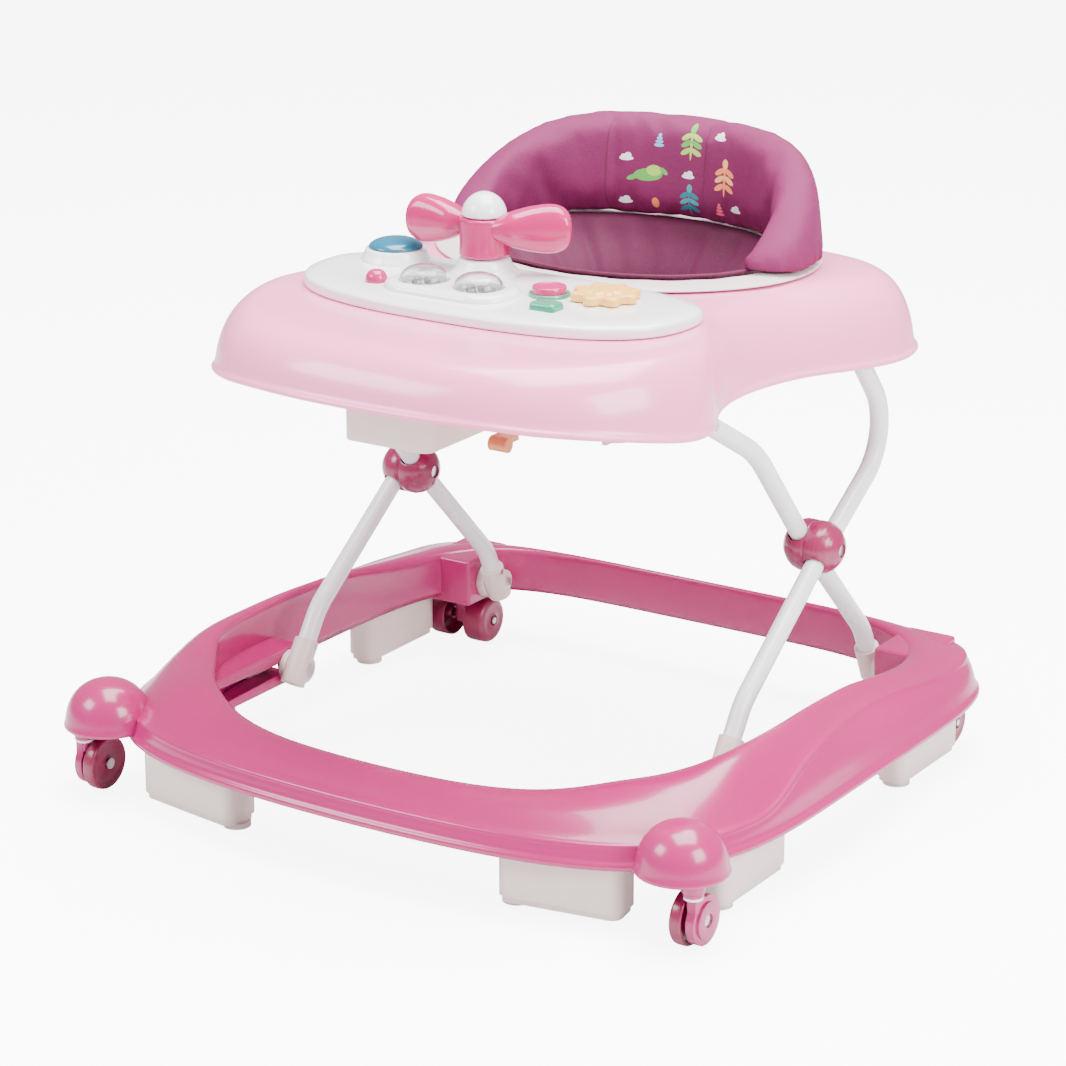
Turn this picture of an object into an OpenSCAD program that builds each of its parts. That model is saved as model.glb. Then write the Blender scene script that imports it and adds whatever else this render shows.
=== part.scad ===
// Baby walker with a folding scissor frame, play tray and padded seat. Units mm, +Z up, front faces -Y.

/* [Base] */
// Half width of the base ring at the lip
base_half_w = 305; // [295:1:315]
// Distance from the caster line forward to the front lip
base_front = 42; // [36:1:48]
// Distance from the caster line back to the rear lip
base_rear = 533; // [525:1:541]
// Half width of the opening inside the ring
ring_in_w = 254; // [252:1:256]
// Height of the lip above the floor
lip_z = 52; // [48:1:56]
// Moulding wall thickness
wall = 3; // [2.6:0.1:3.4]

/* [Running gear] */
// Half distance between the front caster stems
stem_x = 294; // [290:1:298]
// Front caster wheel radius
caster_r = 23; // [21:0.5:24]
// Rear wheel radius
rear_wheel_r = 21.5; // [20:0.5:22]
// Trail of the caster axle behind the stem
caster_trail = 12; // [10:1:14]

/* [Scissor frame] */
// Outer diameter of the leg tubes
tube_d = 16; // [15:0.5:17]
// Half distance between the inner leg tubes
inner_x = 194; // [193:0.5:195]
// Half distance between the outer leg tubes
outer_x = 211; // [210.5:0.5:212]
// Diameter of the pivot balls
ball_d = 44; // [42:1:46]
// Diameter of the pivot pins
pin_d = 8; // [7:0.5:8.5]

/* [Tray and seat] */
// Height of the play tray top
tray_top = 424; // [420:1:428]
// Radius of the seat hole
hole_r = 138; // [134:1:142]
// Height of the seat back above the floor
back_top = 530; // [520:1:536]

/* [Hidden] */
$fn = 48;
y_shift = -(base_rear - base_front) / 2;
pink = [0.80, 0.36, 0.56];
deep_pink = [0.66, 0.22, 0.42];
pale_pink = [0.95, 0.73, 0.80];
off_white = [0.89, 0.85, 0.84];
tube_white = [0.92, 0.92, 0.93];
steel = [0.75, 0.75, 0.77];
fabric = [0.62, 0.17, 0.42];
cream = [0.93, 0.88, 0.85];

// pivot layout, Y measured back from the caster stem line
rear_pivot = [474, 66];
ball_c = [347, 208];
front_pivot = [190, 66];
tray_pin = [397, 361];
slide_pin = [183.3, 350.8];
slot_front = 94;
fold_deg = 20;
outer_ratio = 0.858;
tilt_ratio = 0.5;
fit = 0.05;
tr = tube_d / 2;
n_ring = 80;

function mix(a, b, t) = a + (b - a) * t;
function warp(u) = u + 0.6 * sin(4 * u) * 45 / PI;
function super_r(c, s, a, b, n) = 1 / pow(pow(abs(c) / a, n) + pow(abs(s) / b, n), 1 / n);
mid_y = (base_rear - base_front) / 2;

// outer lip and inner wall outlines of the base ring along a ray from its centre
function ring_out(t) =
    let (
        c = cos(t),
        s = sin(t),
        b = (base_rear + base_front) / 2,
        p = super_r(c, s, base_half_w, b, s < 0 ? 4.5 : 7) * [c, s] + [0, mid_y]
    )
    s < 0 ? p + [0, 34 * pow(abs(p[0]) / base_half_w, 2) * -s] : p;
function ring_in(t) =
    let (c = cos(t), s = sin(t))
    super_r(c, s, ring_in_w, s < 0 ? mid_y - 4 : 264.5, s < 0 ? 3.4 : 5) * [c, s] + [0, mid_y];
// the crown overhangs the inner wall a little at the front corners
function crown_in(t) =
    let (p = ring_in(t))
    t > 180 || t < 0 ? p + [0, 30 * pow(abs(p[0]) / ring_in_w, 2) * (p[1] < 70 ? 1 : max(0, 1 - (p[1] -
        70) / 60))] : p;
// heights of the crown and of the ridge, and how far the ridge runs inboard, by the lip's distance back
function top_z(y) = lookup(y, [[-42, 88], [-26, 93], [-10, 100], [0, 102], [32, 103.5], [53, 105.5], [85,
    110],
    [133, 113.5], [235, 113.5], [275, 112], [321, 110], [373, 103], [423, 97], [475, 93], [533, 92]]);
function ridge_z(y) = lookup(y, [[-42, 71], [60, 72], [110, 73], [149, 85], [175, 92], [221, 98],
    [260, 98.5], [300, 98], [346, 96], [405, 90], [461, 84], [533, 83]]);
function ridge_in(y) = lookup(y, [[-42, 0], [124, 1], [149, 5], [175, 9], [221, 13], [258, 17], [296, 22],
    [346, 22], [405, 17], [461, 12], [510, 3], [533, 1]]);

// one closed section of the ring: skin from the lip over the crown to the inner edge and back inside
function ring_section(t) =
    let (
        o = ring_out(t),
        i = crown_in(t),
        w = norm(i - o),
        u = (i - o) / w,
        v = ring_in(t) - i,
        zr = ridge_z(o[1]),
        zt = top_z(o[1]),
        e = ridge_in(o[1]),
        h = zt - zr,
        r = 9 + e,
        d = w - r,
        q = e / 25,
        prof = [
            [wall, lip_z], [0.5, lip_z + 0.5], [-1, lip_z + 2.5], [-1, lip_z + 5], [0.5, lip_z + 7],
            [2.5, lip_z + 8], [3.5 + 0.3 * e, mix(lip_z + 8, zr, 0.6)], [4.5 + e, zr - 3],
            [4.5 + e, zr - 0.5], [6 + e, zr + 1.2], [r, zr + 1.4],
            [r + 0.18 * d, zr + 1.4 + (0.42 * h - 1.4) * (1 - 0.7 * q)],
            [r + 0.38 * d, zr + 0.72 * h * (1 - 0.4 * q)],
            [r + 0.58 * d, zr + 0.92 * h * (1 - 0.12 * q)],
            [r + 0.76 * d, zt], [r + 0.9 * d, zt - 0.5], [w - 0.6, zt - 3.5], [w, zt - 8], [w, 50, 1],
            [w - wall, 50, 1], [w - wall, zt - 9.5], [r + 0.76 * d - 1, zt - wall - 0.5],
            [r + 0.4 * d, zr + 0.7 * h * (1 - 0.4 * q) - wall - 0.5], [r, zr - 2], [4.5 + wall + e, zr - 5],
            [3.5 + wall + 0.3 * e, mix(lip_z + 8, zr, 0.6) - 1.5], [2.5 + wall, lip_z + 7]
        ]
    )
    [for (p = prof) let (g = p[2] == 1 ? v : [0, 0]) [o[0] + u[0] * p[0] + g[0], o[1] + u[1] * p[0] +
        g[1], p[1]]];

// closed skin through a loop of sections, each with the same number of points
module loop_skin(sections) {
    n = len(sections);
    m = len(sections[0]);
    pts = [for (s = sections) each s];
    faces = [for (i = [0:n - 1], j = [0:m - 1])
        let (a = i * m + j, b = i * m + (j + 1) % m, c = ((i + 1) % n) * m + (j + 1) % m, d = ((i + 1) %
            n) * m + j)
        each [[a, b, c], [a, c, d]]];
    polyhedron(points = pts, faces = faces, convexity = 10);
}

module place() {
    translate([0, y_shift, 0]) children();
}

module both() {
    children();
    mirror([1, 0, 0]) children();
}

// cylinder along X from x0 to x1 at a point in the YZ plane
module x_rod(p, r, x0, x1) {
    translate([x0, p[0], p[1]]) rotate([0, 90, 0]) cylinder(h = x1 - x0, r = r);
}

module rounded_slab(size, r) {
    linear_extrude(size[2]) {
        square([size[0] - 2 * r, size[1]], center = true);
        square([size[0], size[1] - 2 * r], center = true);
        for (sx = [-1, 1], sy = [-1, 1])
            translate([sx * (size[0] / 2 - r), sy * (size[1] / 2 - r)]) circle(r = r);
    }
}

// ---------- base ----------
dome_c = [277, 12];
dome_r = 36;
box_x0 = 209;

module dome_shell() {
    translate([dome_c[0], dome_c[1], 0]) rotate_extrude()
        polygon([[dome_r - wall, 58], [dome_r + 1, 58], [dome_r + 1.5, 60.5], [dome_r, 63], [dome_r - 1, 72],
            [dome_r - 4, 81], [dome_r - 9, 88], [dome_r - 17, 94], [dome_r - 26, 97], [0, 98], [0, 98 - wall],
            [dome_r - 27, 97 - wall], [dome_r - 19, 93 - wall], [dome_r - 12, 86], [dome_r - 7, 79],
                [dome_r - 4, 70]]);
}

module slot_outline(r, y0, y1) {
    for (y = [y0, y1]) translate([y, front_pivot[1]]) circle(r = r);
    translate([y0, front_pivot[1] - r]) square([y1 - y0, 2 * r]);
}

// where a point of the folded frame lies when the inner legs have turned by phi
function turn(p, a) = [p[0] * cos(a) - p[1] * sin(a), p[0] * sin(a) + p[1] * cos(a)];
function ball_at(phi) = rear_pivot + turn(ball_c - rear_pivot, phi);
function outer_at(p, phi) = ball_at(phi) + turn(p - ball_c, -outer_ratio * phi);
function inner_at(p, phi) = ball_at(phi) + turn(p - ball_c, phi);
function tray_local(p, phi) = tray_pin + turn(p - outer_at(tray_pin, phi), -tilt_ratio * phi);
slot_play = 0.9;

module base_frame() {
    color(pink) place() {
        difference() {
            union() {
                loop_skin([for (k = [0:n_ring - 1]) ring_section(warp(k * 360 / n_ring))]);
                both() base_details();
            }
            both() {
                // slide slot, its keyhole and the room behind it
                translate([222, 0, 0]) rotate([90, 0, 90]) linear_extrude(8) {
                    slot_outline(pin_d / 2 + slot_play, slot_front - 1, front_pivot[0] + 1);
                    translate([slot_front - 8, front_pivot[1]]) circle(r = 7.5);
                }
                translate([227, slot_front - 18, 56]) cube([15, 130, 20]);
                // caster stem bore and rear pivot bore
                translate([stem_x, 0, 44]) cylinder(h = 31, r = 5 + fit);
                x_rod(rear_pivot, pin_d / 2 + fit, box_x0 - 1, box_x0 + 24);
                x_rod([486, rear_wheel_r], 3 + fit, 230, 250);
                // room for the rear sockets and for the tops of the front stoppers
                x_rod(rear_pivot, 17, inner_x - 16, box_x0 - fit);
                at_front_stop() translate([0, 0, 40]) rounded_slab([front_stop_size[0] + 1,
                    front_stop_size[1] + 1, 22 + fit], 10);
            }
        }
    }
}

module base_details() {
    dome_shell();
    translate([stem_x, 0, 50]) cylinder(h = 29, r = 9);
    for (a = [90:90:270]) translate([stem_x, 0, 66]) rotate([0, 0, a]) translate([8, -1.2, 0]) cube([9,
        2.4, 12]);
    // slide housing on the inner wall
    translate([224, slot_front - 21, 52]) cube([3, 136, 28]);
    translate([224, slot_front - 21, 78]) cube([30, 136, 3]);
    translate([224, slot_front - 21, 50.5]) cube([30, 136, 3]);
    translate([224, slot_front + 112, 52]) cube([30, 3, 28]);
    // rear corner box carrying the pivot and the wheel fork
    difference() {
        translate([box_x0, 446, 46]) cube([46, 66, 44]);
        translate([box_x0 + wall, 446 + wall, 40]) cube([46 - 2 * wall, 66 - 2 * wall, 47]);
    }
    x_rod(rear_pivot, 9, box_x0 + 1, box_x0 + 22);
    translate([234, 478, 14]) cube([12, 16, 75]);
    x_rod([486, rear_wheel_r], 8, 234, 246);
    // posts down to the stoppers
    for (p = stopper_posts) translate([p[0], p[1], 62 + fit]) cylinder(h = p[2] - 62, r = 4.5);
}

// ---------- stoppers ----------
front_stop = [178, 6];
front_stop_size = [104, 36];
// where each post stands and the height at which it ends inside the crown
stopper_posts = [[152, 8, 89.3], [204, 16, 88.8], [271, 85, 88], [271, 140, 103.2], [271, 382, 93], [271,
    440, 87.2]];

module at_front_stop() {
    translate([front_stop[0], front_stop[1], 0]) rotate([0, 0, 9]) children();
}

module stopper_body(size) {
    difference() {
        union() {
            translate([0, 0, 9]) rounded_slab([size[0] - 4, size[1] - 4, 5], 9);
            translate([0, 0, 14]) rounded_slab([size[0], size[1], 48], 10);
        }
        translate([0, 0, 12]) rounded_slab([size[0] - 6, size[1] - 6, 47], 7);
    }
}

module front_stopper() {
    color(off_white) at_front_stop() stopper_body(front_stop_size);
}

module side_front_stopper() {
    color(off_white) translate([271, 112, 0]) stopper_body([30, 100]);
}

module side_rear_stopper() {
    color(off_white) translate([271, 410, 0]) stopper_body([28, 106]);
}

module front_stopper_right() { place() front_stopper(); }
module front_stopper_left() { place() mirror([1, 0, 0]) front_stopper(); }
module side_front_stopper_right() { place() side_front_stopper(); }
module side_front_stopper_left() { place() mirror([1, 0, 0]) side_front_stopper(); }
module side_rear_stopper_right() { place() side_rear_stopper(); }
module side_rear_stopper_left() { place() mirror([1, 0, 0]) side_rear_stopper(); }

module stopper_feet() {
    color(cream) place() both() for (p = [[136, 1], [271, 78], [271, 374]])
        translate([p[0], p[1], 4]) cylinder(h = 5 - fit, r = 11.5);
}

// ---------- casters ----------
fork_x = 7;

module caster_fork() {
    color(deep_pink) difference() {
        union() {
            translate([0, 0, 36]) cylinder(h = 38, r = 5);
            translate([0, 0, 46.5]) cylinder(h = 3, r = 8);
            translate([-2, -5, 32]) cube([7, 14, 12]);
            x_rod([caster_trail, caster_r], 20, -2, 5);
            x_rod([caster_trail, caster_r], 15, 4, fork_x);
        }
        x_rod([caster_trail, caster_r], 3 + fit, -4, 9);
        x_rod([caster_trail, caster_r], 5.5, 3.5, 9);
    }
}

module caster_wheel() {
    color(deep_pink) translate([-16, caster_trail, caster_r]) rotate([0, 90, 0]) rotate_extrude()
        polygon([[3 + fit, 0.8], [9, 0.8], [10, 2], [18, 1.2], [21, 0.4], [caster_r, 2.5], [caster_r, 9],
            [21.8, 10.6], [20.8, 10.2], [20, 6], [9, 6], [9, 13.4], [3 + fit, 13.4]]);
}

module caster_screw() {
    color(steel) {
        x_rod([caster_trail, caster_r], 3, -17.5, 4.2);
        x_rod([caster_trail, caster_r], 5, 3.5 + fit, 5.6);
        x_rod([caster_trail, caster_r], 4.6, -17.5, -16);
    }
}

module caster_ring() {
    color(off_white) difference() {
        translate([0, 0, 44 + fit]) cylinder(h = 2.3, r = 7.6);
        translate([0, 0, 43]) cylinder(h = 5, r = 5 + fit);
    }
}

module at_stem(s) {
    if (s > 0) place() translate([stem_x, 0, 0]) children();
    else place() mirror([1, 0, 0]) translate([stem_x, 0, 0]) children();
}

module caster_fork_right() { at_stem(1) caster_fork(); }
module caster_fork_left() { at_stem(-1) caster_fork(); }
module caster_ring_right() { at_stem(1) caster_ring(); }
module caster_ring_left() { at_stem(-1) caster_ring(); }
module caster_wheel_right() { at_stem(1) caster_wheel(); }
module caster_wheel_left() { at_stem(-1) caster_wheel(); }
module caster_screw_right() { at_stem(1) caster_screw(); }
module caster_screw_left() { at_stem(-1) caster_screw(); }

// ---------- rear wheels ----------
module rear_axle() {
    color(steel) x_rod([486, rear_wheel_r], 3, 207.5, 272.5);
}

// wheel with its hollow side at x = 0 and its face at x = 22
module rear_wheel(x0, dir) {
    color(deep_pink) translate([x0, 486, rear_wheel_r]) rotate([0, 90 * dir, 0]) rotate_extrude()
        polygon([[3 + fit, 0.5], [7, 0.5], [7, 15], [18.5, 15], [19.5, 1], [21, 0], [rear_wheel_r, 2],
            [rear_wheel_r, 16], [20, 19.5], [17, 21], [6, 21.5], [5.5, 19.5], [3 + fit, 19.5]]);
}

module rear_axles() { place() both() rear_axle(); }
module rear_wheel_inner_right() { place() rear_wheel(229.5, -1); }
module rear_wheel_outer_right() { place() rear_wheel(250.5, 1); }
module rear_wheel_inner_left() { place() mirror([1, 0, 0]) rear_wheel(229.5, -1); }
module rear_wheel_outer_left() { place() mirror([1, 0, 0]) rear_wheel(250.5, 1); }

// ---------- leg tubes ----------
bore_r = tr - 1.3;

// straight piece of tube in the YZ plane from p along angle a
module tube_run(p, a, len, r, hole = 0) {
    translate([0, p[0], p[1]]) rotate([a, 0, 0]) rotate([-90, 0, 0]) difference() {
        cylinder(h = len, r = r);
        if (hole > 0) translate([0, 0, -1]) cylinder(h = len + 2, r = hole);
    }
}

// the wall is a touch thicker both ways at a bend, and each straight reaches a little into it
swell = 0.03;
lap = 0.5;

// bent piece of tube that starts at p heading along angle a and turns by b with bend radius rb
module tube_arc(p, a, b, rb) {
    s = b > 0 ? 1 : -1;
    c = p + rb * s * [-sin(a), cos(a)];
    start = a - s * 90;
    translate([0, c[0], c[1]]) rotate([90, 0, 90]) rotate([0, 0, b > 0 ? start : start + b])
        rotate_extrude(angle = abs(b), $fn = 144) translate([rb, 0]) difference() {
            circle(r = tr + swell);
            circle(r = bore_r - swell);
        }
}

function arc_end(p, a, b, rb) =
    let (s = b > 0 ? 1 : -1, c = p + rb * s * [-sin(a), cos(a)], e = a + b)
    c - rb * s * [-sin(e), cos(e)];
function go(p, a, l) = p + l * [cos(a), sin(a)];

// each leg has a slight set at the ball, made as a wide bend
set_r = 100;
function set_len(b) = set_r * tan(abs(b) / 2);

// inner leg: up to the front and down to the rear from the ball
in_up_dir = 131;
in_low_dir = -45;
in_set = in_up_dir - in_low_dir - 180;
in_up_len = 112;
in_low_len = 137;
in_up1 = go(ball_c, in_up_dir, in_up_len);
in_up2 = arc_end(in_up1, in_up_dir, 20, 120);
in_top_len = norm(slide_pin - in_up2);
in_low1 = go(ball_c, in_low_dir, in_low_len);
in_low2 = arc_end(in_low1, in_low_dir, -20, 70);
in_tail = 14;

// straight between two bends, or from a bend to the open end
module lapped_run(p, a, len, end_lap) {
    tube_run(go(p, a, -lap), a, len + lap + end_lap, tr, bore_r);
}

module inner_leg() {
    t = set_len(in_set);
    color(tube_white) difference() {
        translate([inner_x, 0, 0]) {
            lapped_run(go(ball_c, in_up_dir, t), in_up_dir, in_up_len - t, lap);
            tube_arc(in_up1, in_up_dir, 20, 120);
            lapped_run(in_up2, in_up_dir + 20, in_top_len + 7, 0);
            tube_arc(go(ball_c, in_low_dir, t), in_low_dir + 180, in_set, set_r);
            lapped_run(go(ball_c, in_low_dir, t), in_low_dir, in_low_len - t, lap);
            tube_arc(in_low1, in_low_dir, -20, 70);
            lapped_run(in_low2, in_low_dir - 20, in_tail, 0);
        }
        x_rod(slide_pin, pin_d / 2 + fit, inner_x - 20, inner_x + 20);
        x_rod(ball_c, pin_d / 2 + fit, inner_x - 20, inner_x + 20);
    }
}

// outer leg: down to the front and up to the rear from the ball
out_low_dir = 216;
out_up_dir = 32;
out_set = out_up_dir - out_low_dir + 180;
out_up_len = 82;
out_low_len = 150;
out_low1 = go(ball_c, out_low_dir, out_low_len);
out_low2 = arc_end(out_low1, out_low_dir, 20, 60);
out_up1 = go(ball_c, out_up_dir, out_up_len);
out_up2 = arc_end(out_up1, out_up_dir, 98, 48);
out_top_len = norm(tray_pin - out_up2);
out_tail = 26;

module outer_leg() {
    t = set_len(out_set);
    color(tube_white) difference() {
        translate([outer_x, 0, 0]) {
            lapped_run(go(ball_c, out_low_dir, t), out_low_dir, out_low_len - t, lap);
            tube_arc(out_low1, out_low_dir, 20, 60);
            lapped_run(out_low2, out_low_dir + 20, out_tail, 0);
            tube_arc(go(ball_c, out_low_dir, t), out_low_dir - 180, out_set, set_r);
            lapped_run(go(ball_c, out_up_dir, t), out_up_dir, out_up_len - t, lap);
            tube_arc(out_up1, out_up_dir, 98, 48);
            lapped_run(out_up2, out_up_dir + 98, out_top_len + 9, 0);
        }
        x_rod(tray_pin, pin_d / 2 + fit, outer_x - 20, outer_x + 20);
        x_rod(ball_c, pin_d / 2 + fit, outer_x - 20, outer_x + 20);
    }
}

module inner_leg_right() { place() inner_leg(); }
module inner_leg_left() { place() mirror([1, 0, 0]) inner_leg(); }
module outer_leg_right() { place() outer_leg(); }
module outer_leg_left() { place() mirror([1, 0, 0]) outer_leg(); }

// ---------- pivot balls ----------
split_x = (inner_x + outer_x) / 2;
ball_r = ball_d / 2;

// half shell turned about the pivot, flat side at the split, s = 1 outward or -1 inward
module ball_half(s) {
    translate([split_x + s * fit / 2, ball_c[0], ball_c[1]]) rotate([0, 90 * s, 0]) difference() {
        rotate_extrude() polygon([[0, 0], [ball_r - 1, 0], [ball_r, 2], [ball_r, 9], [ball_r - 1.5, 14],
            [ball_r - 4.5, 18.5], [ball_r - 9, 22.5], [ball_r - 14, 25], [5.7, 26], [5.7, 21], [0, 21]]);
        translate([0, 0, -1]) cylinder(h = 30, r = pin_d / 2 + fit);
        rotate_extrude() translate([ball_r, 11.5]) circle(r = 0.7, $fn = 24);
    }
}

module ball_inner() {
    color(deep_pink) difference() {
        ball_half(-1);
        translate([inner_x, 0, 0]) tube_run(go(ball_c, in_up_dir - in_set / 2, -40), in_up_dir - in_set /
            2, 80, tr + 0.9);
    }
}

module ball_outer() {
    color(deep_pink) difference() {
        ball_half(1);
        translate([outer_x, 0, 0]) tube_run(go(ball_c, out_up_dir - out_set / 2, -40), out_up_dir -
            out_set / 2, 80, tr + 0.9);
    }
}

// bolt through both half shells, heads sunk in their end recesses
module ball_bolt() {
    color(steel) {
        x_rod(ball_c, pin_d / 2, split_x - 23, split_x + 23);
        x_rod(ball_c, 5.4, split_x - 24, split_x - 21.1);
        x_rod(ball_c, 5.4, split_x + 21.1, split_x + 24);
    }
}

module ball_inner_right() { place() ball_inner(); }
module ball_inner_left() { place() mirror([1, 0, 0]) ball_inner(); }
module ball_outer_right() { place() ball_outer(); }
module ball_outer_left() { place() mirror([1, 0, 0]) ball_outer(); }
module ball_bolts() { place() both() ball_bolt(); }

// ---------- lower leg sockets ----------
sleeve_r = 10.6;

module rear_socket() {
    color(cream) difference() {
        union() {
            translate([inner_x, 0, 0]) tube_run(go(in_low2, -65, 9), -65, 32, sleeve_r);
            x_rod(rear_pivot, 16, inner_x + 7, box_x0 - 0.3);
            x_rod(rear_pivot, 12, inner_x - 6, inner_x + 8);
        }
        translate([inner_x, 0, 0]) tube_run(in_low2, -65, 14 + fit, tr + fit);
        x_rod(rear_pivot, pin_d / 2 + fit, inner_x - 12, box_x0 + 1);
        x_rod(rear_pivot, 6.3, inner_x - 12, inner_x - 7.5);
        x_rod(go(in_low2, -65, 12), 2.6, inner_x - 12, inner_x - 7);
    }
}

module front_socket() {
    color(cream) difference() {
        union() {
            translate([outer_x, 0, 0]) tube_run(go(out_low2, 236, 20), 236, 40, sleeve_r);
            x_rod(front_pivot, 14, outer_x + 7, 223.7);
            x_rod(front_pivot, 12, outer_x - 7, outer_x + 8);
        }
        translate([outer_x, 0, 0]) tube_run(out_low2, 236, 26 + fit, tr + fit);
        x_rod(front_pivot, pin_d / 2 + fit, outer_x - 12, 225);
        x_rod(front_pivot, 6.3, outer_x - 12, outer_x - 8);
        x_rod(go(out_low2, 236, 24), 2.6, outer_x - 12, outer_x - 7);
    }
}

module rear_pin() {
    color(steel) {
        x_rod(rear_pivot, pin_d / 2, inner_x - 8, box_x0 + 22);
        x_rod(rear_pivot, 6, inner_x - 9.5, inner_x - 7.5 - fit);
    }
}

// pin with a wide head that runs behind the slide slot
module front_pin() {
    color(steel) {
        x_rod(front_pivot, pin_d / 2, outer_x - 9, 229);
        x_rod(front_pivot, 6, outer_x - 10, outer_x - 8 - fit);
        x_rod(front_pivot, 6.9, 227.3, 230.5);
    }
}

module socket_screw(p, x) {
    color(steel) {
        x_rod(p, 2.5, x - 10.4, x - 8.3);
    }
}

module rear_socket_right() { place() rear_socket(); }
module rear_socket_left() { place() mirror([1, 0, 0]) rear_socket(); }
module front_socket_right() { place() front_socket(); }
module front_socket_left() { place() mirror([1, 0, 0]) front_socket(); }
module rear_pins() { place() both() rear_pin(); }
module front_pins() { place() both() front_pin(); }
module rear_socket_screws() { place() both() socket_screw(go(in_low2, -65, 12), inner_x); }
module front_socket_screws() { place() both() socket_screw(go(out_low2, 236, 24), outer_x); }

// ---------- tray ----------
// right half of the tray lip from the front centre to the rear centre: x, y, lip height
tray_edge = [[30, -12, 378], [62, -10, 378], [92, -6, 378], [118, 1, 377], [140, 10, 375], [160, 23, 373],
    [178, 40, 370], [194, 59, 367], [207, 80, 363], [217, 102, 359], [222, 122, 357], [222, 140, 357],
    [215, 160, 357], [203, 182, 357], [194, 206, 358], [190, 235, 358], [191, 265, 358], [197, 295, 358],
    [206, 322, 358], [217, 346, 357], [228, 370, 356], [236, 394, 355], [241, 418, 354], [240, 440, 354],
    [234, 460, 354], [222, 478, 354], [204, 493, 354], [178, 504, 355], [146, 512, 356], [108, 517, 357],
    [66, 520, 358], [22, 521, 358]];
seat_c = [0, 378];
hole_y = 0.76;
hole_top = tray_top;

function tray_point(k) = let (n = len(tray_edge), p = tray_edge[k < n ? k : 2 * n - 1 - k]) k < n ? p :
    [-p[0], p[1], p[2]];
function tray_section(k) =
    let (
        p = tray_point(k),
        o = [p[0], p[1]],
        zl = p[2],
        a = atan2(p[1] - seat_c[1], p[0]),
        e = hole_r * [cos(a), hole_y * sin(a)] + seat_c,
        w = norm(e - o),
        u = (e - o) / w,
        g = min(1, (w - 6) / 56),
        h = hole_top - zl,
        prof = [
            [wall, 0, 0], [0.5, 0, 0], [-1.5, 0, 1.5], [-1.5, 0, 4], [0.5, 0, 5.5], [2, 0, 7],
            [4 * g, 0.32, 0], [8 * g, 0.52, 0], [14 * g, 0.7, 0], [22 * g, 0.84, 0], [33 * g, 0.94, 0],
            [48 * g, 1, 0], [w - 2, 1, 0], [w, 1, -2], [w, 1, -16], [w - 2.5, 1, -16], [w - 3.5, 1, -wall
                - 1],
            [48 * g, 1, -wall], [33 * g + 1.5, 0.94, -wall], [22 * g + 2, 0.84, -wall], [14 * g + 2.5,
                0.7, -2.5],
            [8 * g + 3, 0.52, -2], [4 * g + wall, 0.32, -1]
        ]
    )
    [for (q = prof) [o[0] + u[0] * q[0], o[1] + u[1] * q[0], zl + h * q[1] + q[2]]];

// posts moulded under the tray
hang_z = 404;
rail_posts = [100, 175];
box_posts = [[-52, 60], [-52, 115], [52, 75], [52, 115]];

module tray_shell() {
    color(pale_pink) place() {
        loop_skin([for (k = [0:2 * len(tray_edge) - 1]) tray_section(k)]);
        both() {
            for (y = rail_posts) translate([rail_x - 6, y, rail_top + fit]) cylinder(h = tray_top -
                rail_top - 2, r = 5);
            translate([206, tray_pin[0], hinge_top + fit]) cylinder(h = 27, r = 5);
        }
        for (p = box_posts) translate([p[0], p[1], hang_z + fit]) cylinder(h = tray_top - hang_z - 2, r = 4);
    }
}

// fixed hinge bracket for the rear upper leg ends
hinge_x = [199.6, 219.4];
hinge_t = 2.8;
hinge_top = 386;

module tray_hinge() {
    color(off_white) difference() {
        union() {
            for (x = hinge_x) {
                x_rod(tray_pin, 12, x, x + hinge_t);
                translate([x, tray_pin[0] - 12, tray_pin[1]]) cube([hinge_t, 24, hinge_top - tray_pin[1]]);
            }
            translate([hinge_x[0], tray_pin[0] - 12, hinge_top - 3]) cube([hinge_x[1] - hinge_x[0] +
                hinge_t, 24, 3]);
        }
        x_rod(tray_pin, pin_d / 2 + fit, hinge_x[0] - 2, hinge_x[1] + 6);
    }
}

module tray_hinge_pin() {
    color(steel) {
        x_rod(tray_pin, pin_d / 2, 198, 223.5);
        x_rod(tray_pin, 5.5, 197, 199.4);
    }
}

// slotted rail for the front upper leg ends; the slot follows the pin through the fold
rail_x = 156;
rail_top = 398;
rail_pts = [for (q = [0:4:fold_deg]) tray_local(inner_at(slide_pin, q), q)];
rail_end = rail_pts[len(rail_pts) - 1];
rail_edge = 8;

module rail_slot(r) {
    n = len(rail_pts) - 1;
    polygon(concat(
        [for (k = [0:n]) rail_pts[k] + [0, r]],
        [for (a = [110:20:250]) rail_end + r * [cos(a), sin(a)]],
        [for (k = [n:-1:0]) rail_pts[k] - [0, r]],
        [for (a = [-70:20:70]) slide_pin + r * [cos(a), sin(a)]]));
}

module tray_rail() {
    y0 = rail_end[0] - rail_edge;
    y1 = slide_pin[0] + rail_edge;
    color(off_white) {
        difference() {
            translate([rail_x, 0, 0]) rotate([90, 0, 90]) linear_extrude(4)
                polygon(concat([[y0, rail_top], [y1, rail_top], [y1, slide_pin[1] - rail_edge]],
                    [for (p = rail_pts) p - [0, rail_edge]], [[y0, rail_end[1] - rail_edge]]));
            translate([rail_x - 1, 0, 0]) rotate([90, 0, 90]) linear_extrude(6) rail_slot(pin_d / 2 + 0.5);
        }
        translate([rail_x - 12, y0, rail_top - 3]) cube([16, y1 - y0, 3]);
    }
}

// pin at the inner leg's upper end, reaching inward through the rail
module slide_pin_part() {
    color(steel) {
        x_rod(slide_pin, pin_d / 2, rail_x - 3, inner_x + 8);
        x_rod(slide_pin, 6.5, rail_x - 4, rail_x - 0.6);
        x_rod(slide_pin, 5.5, rail_x + 4.6, inner_x - tr - 0.6);
    }
}

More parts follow.
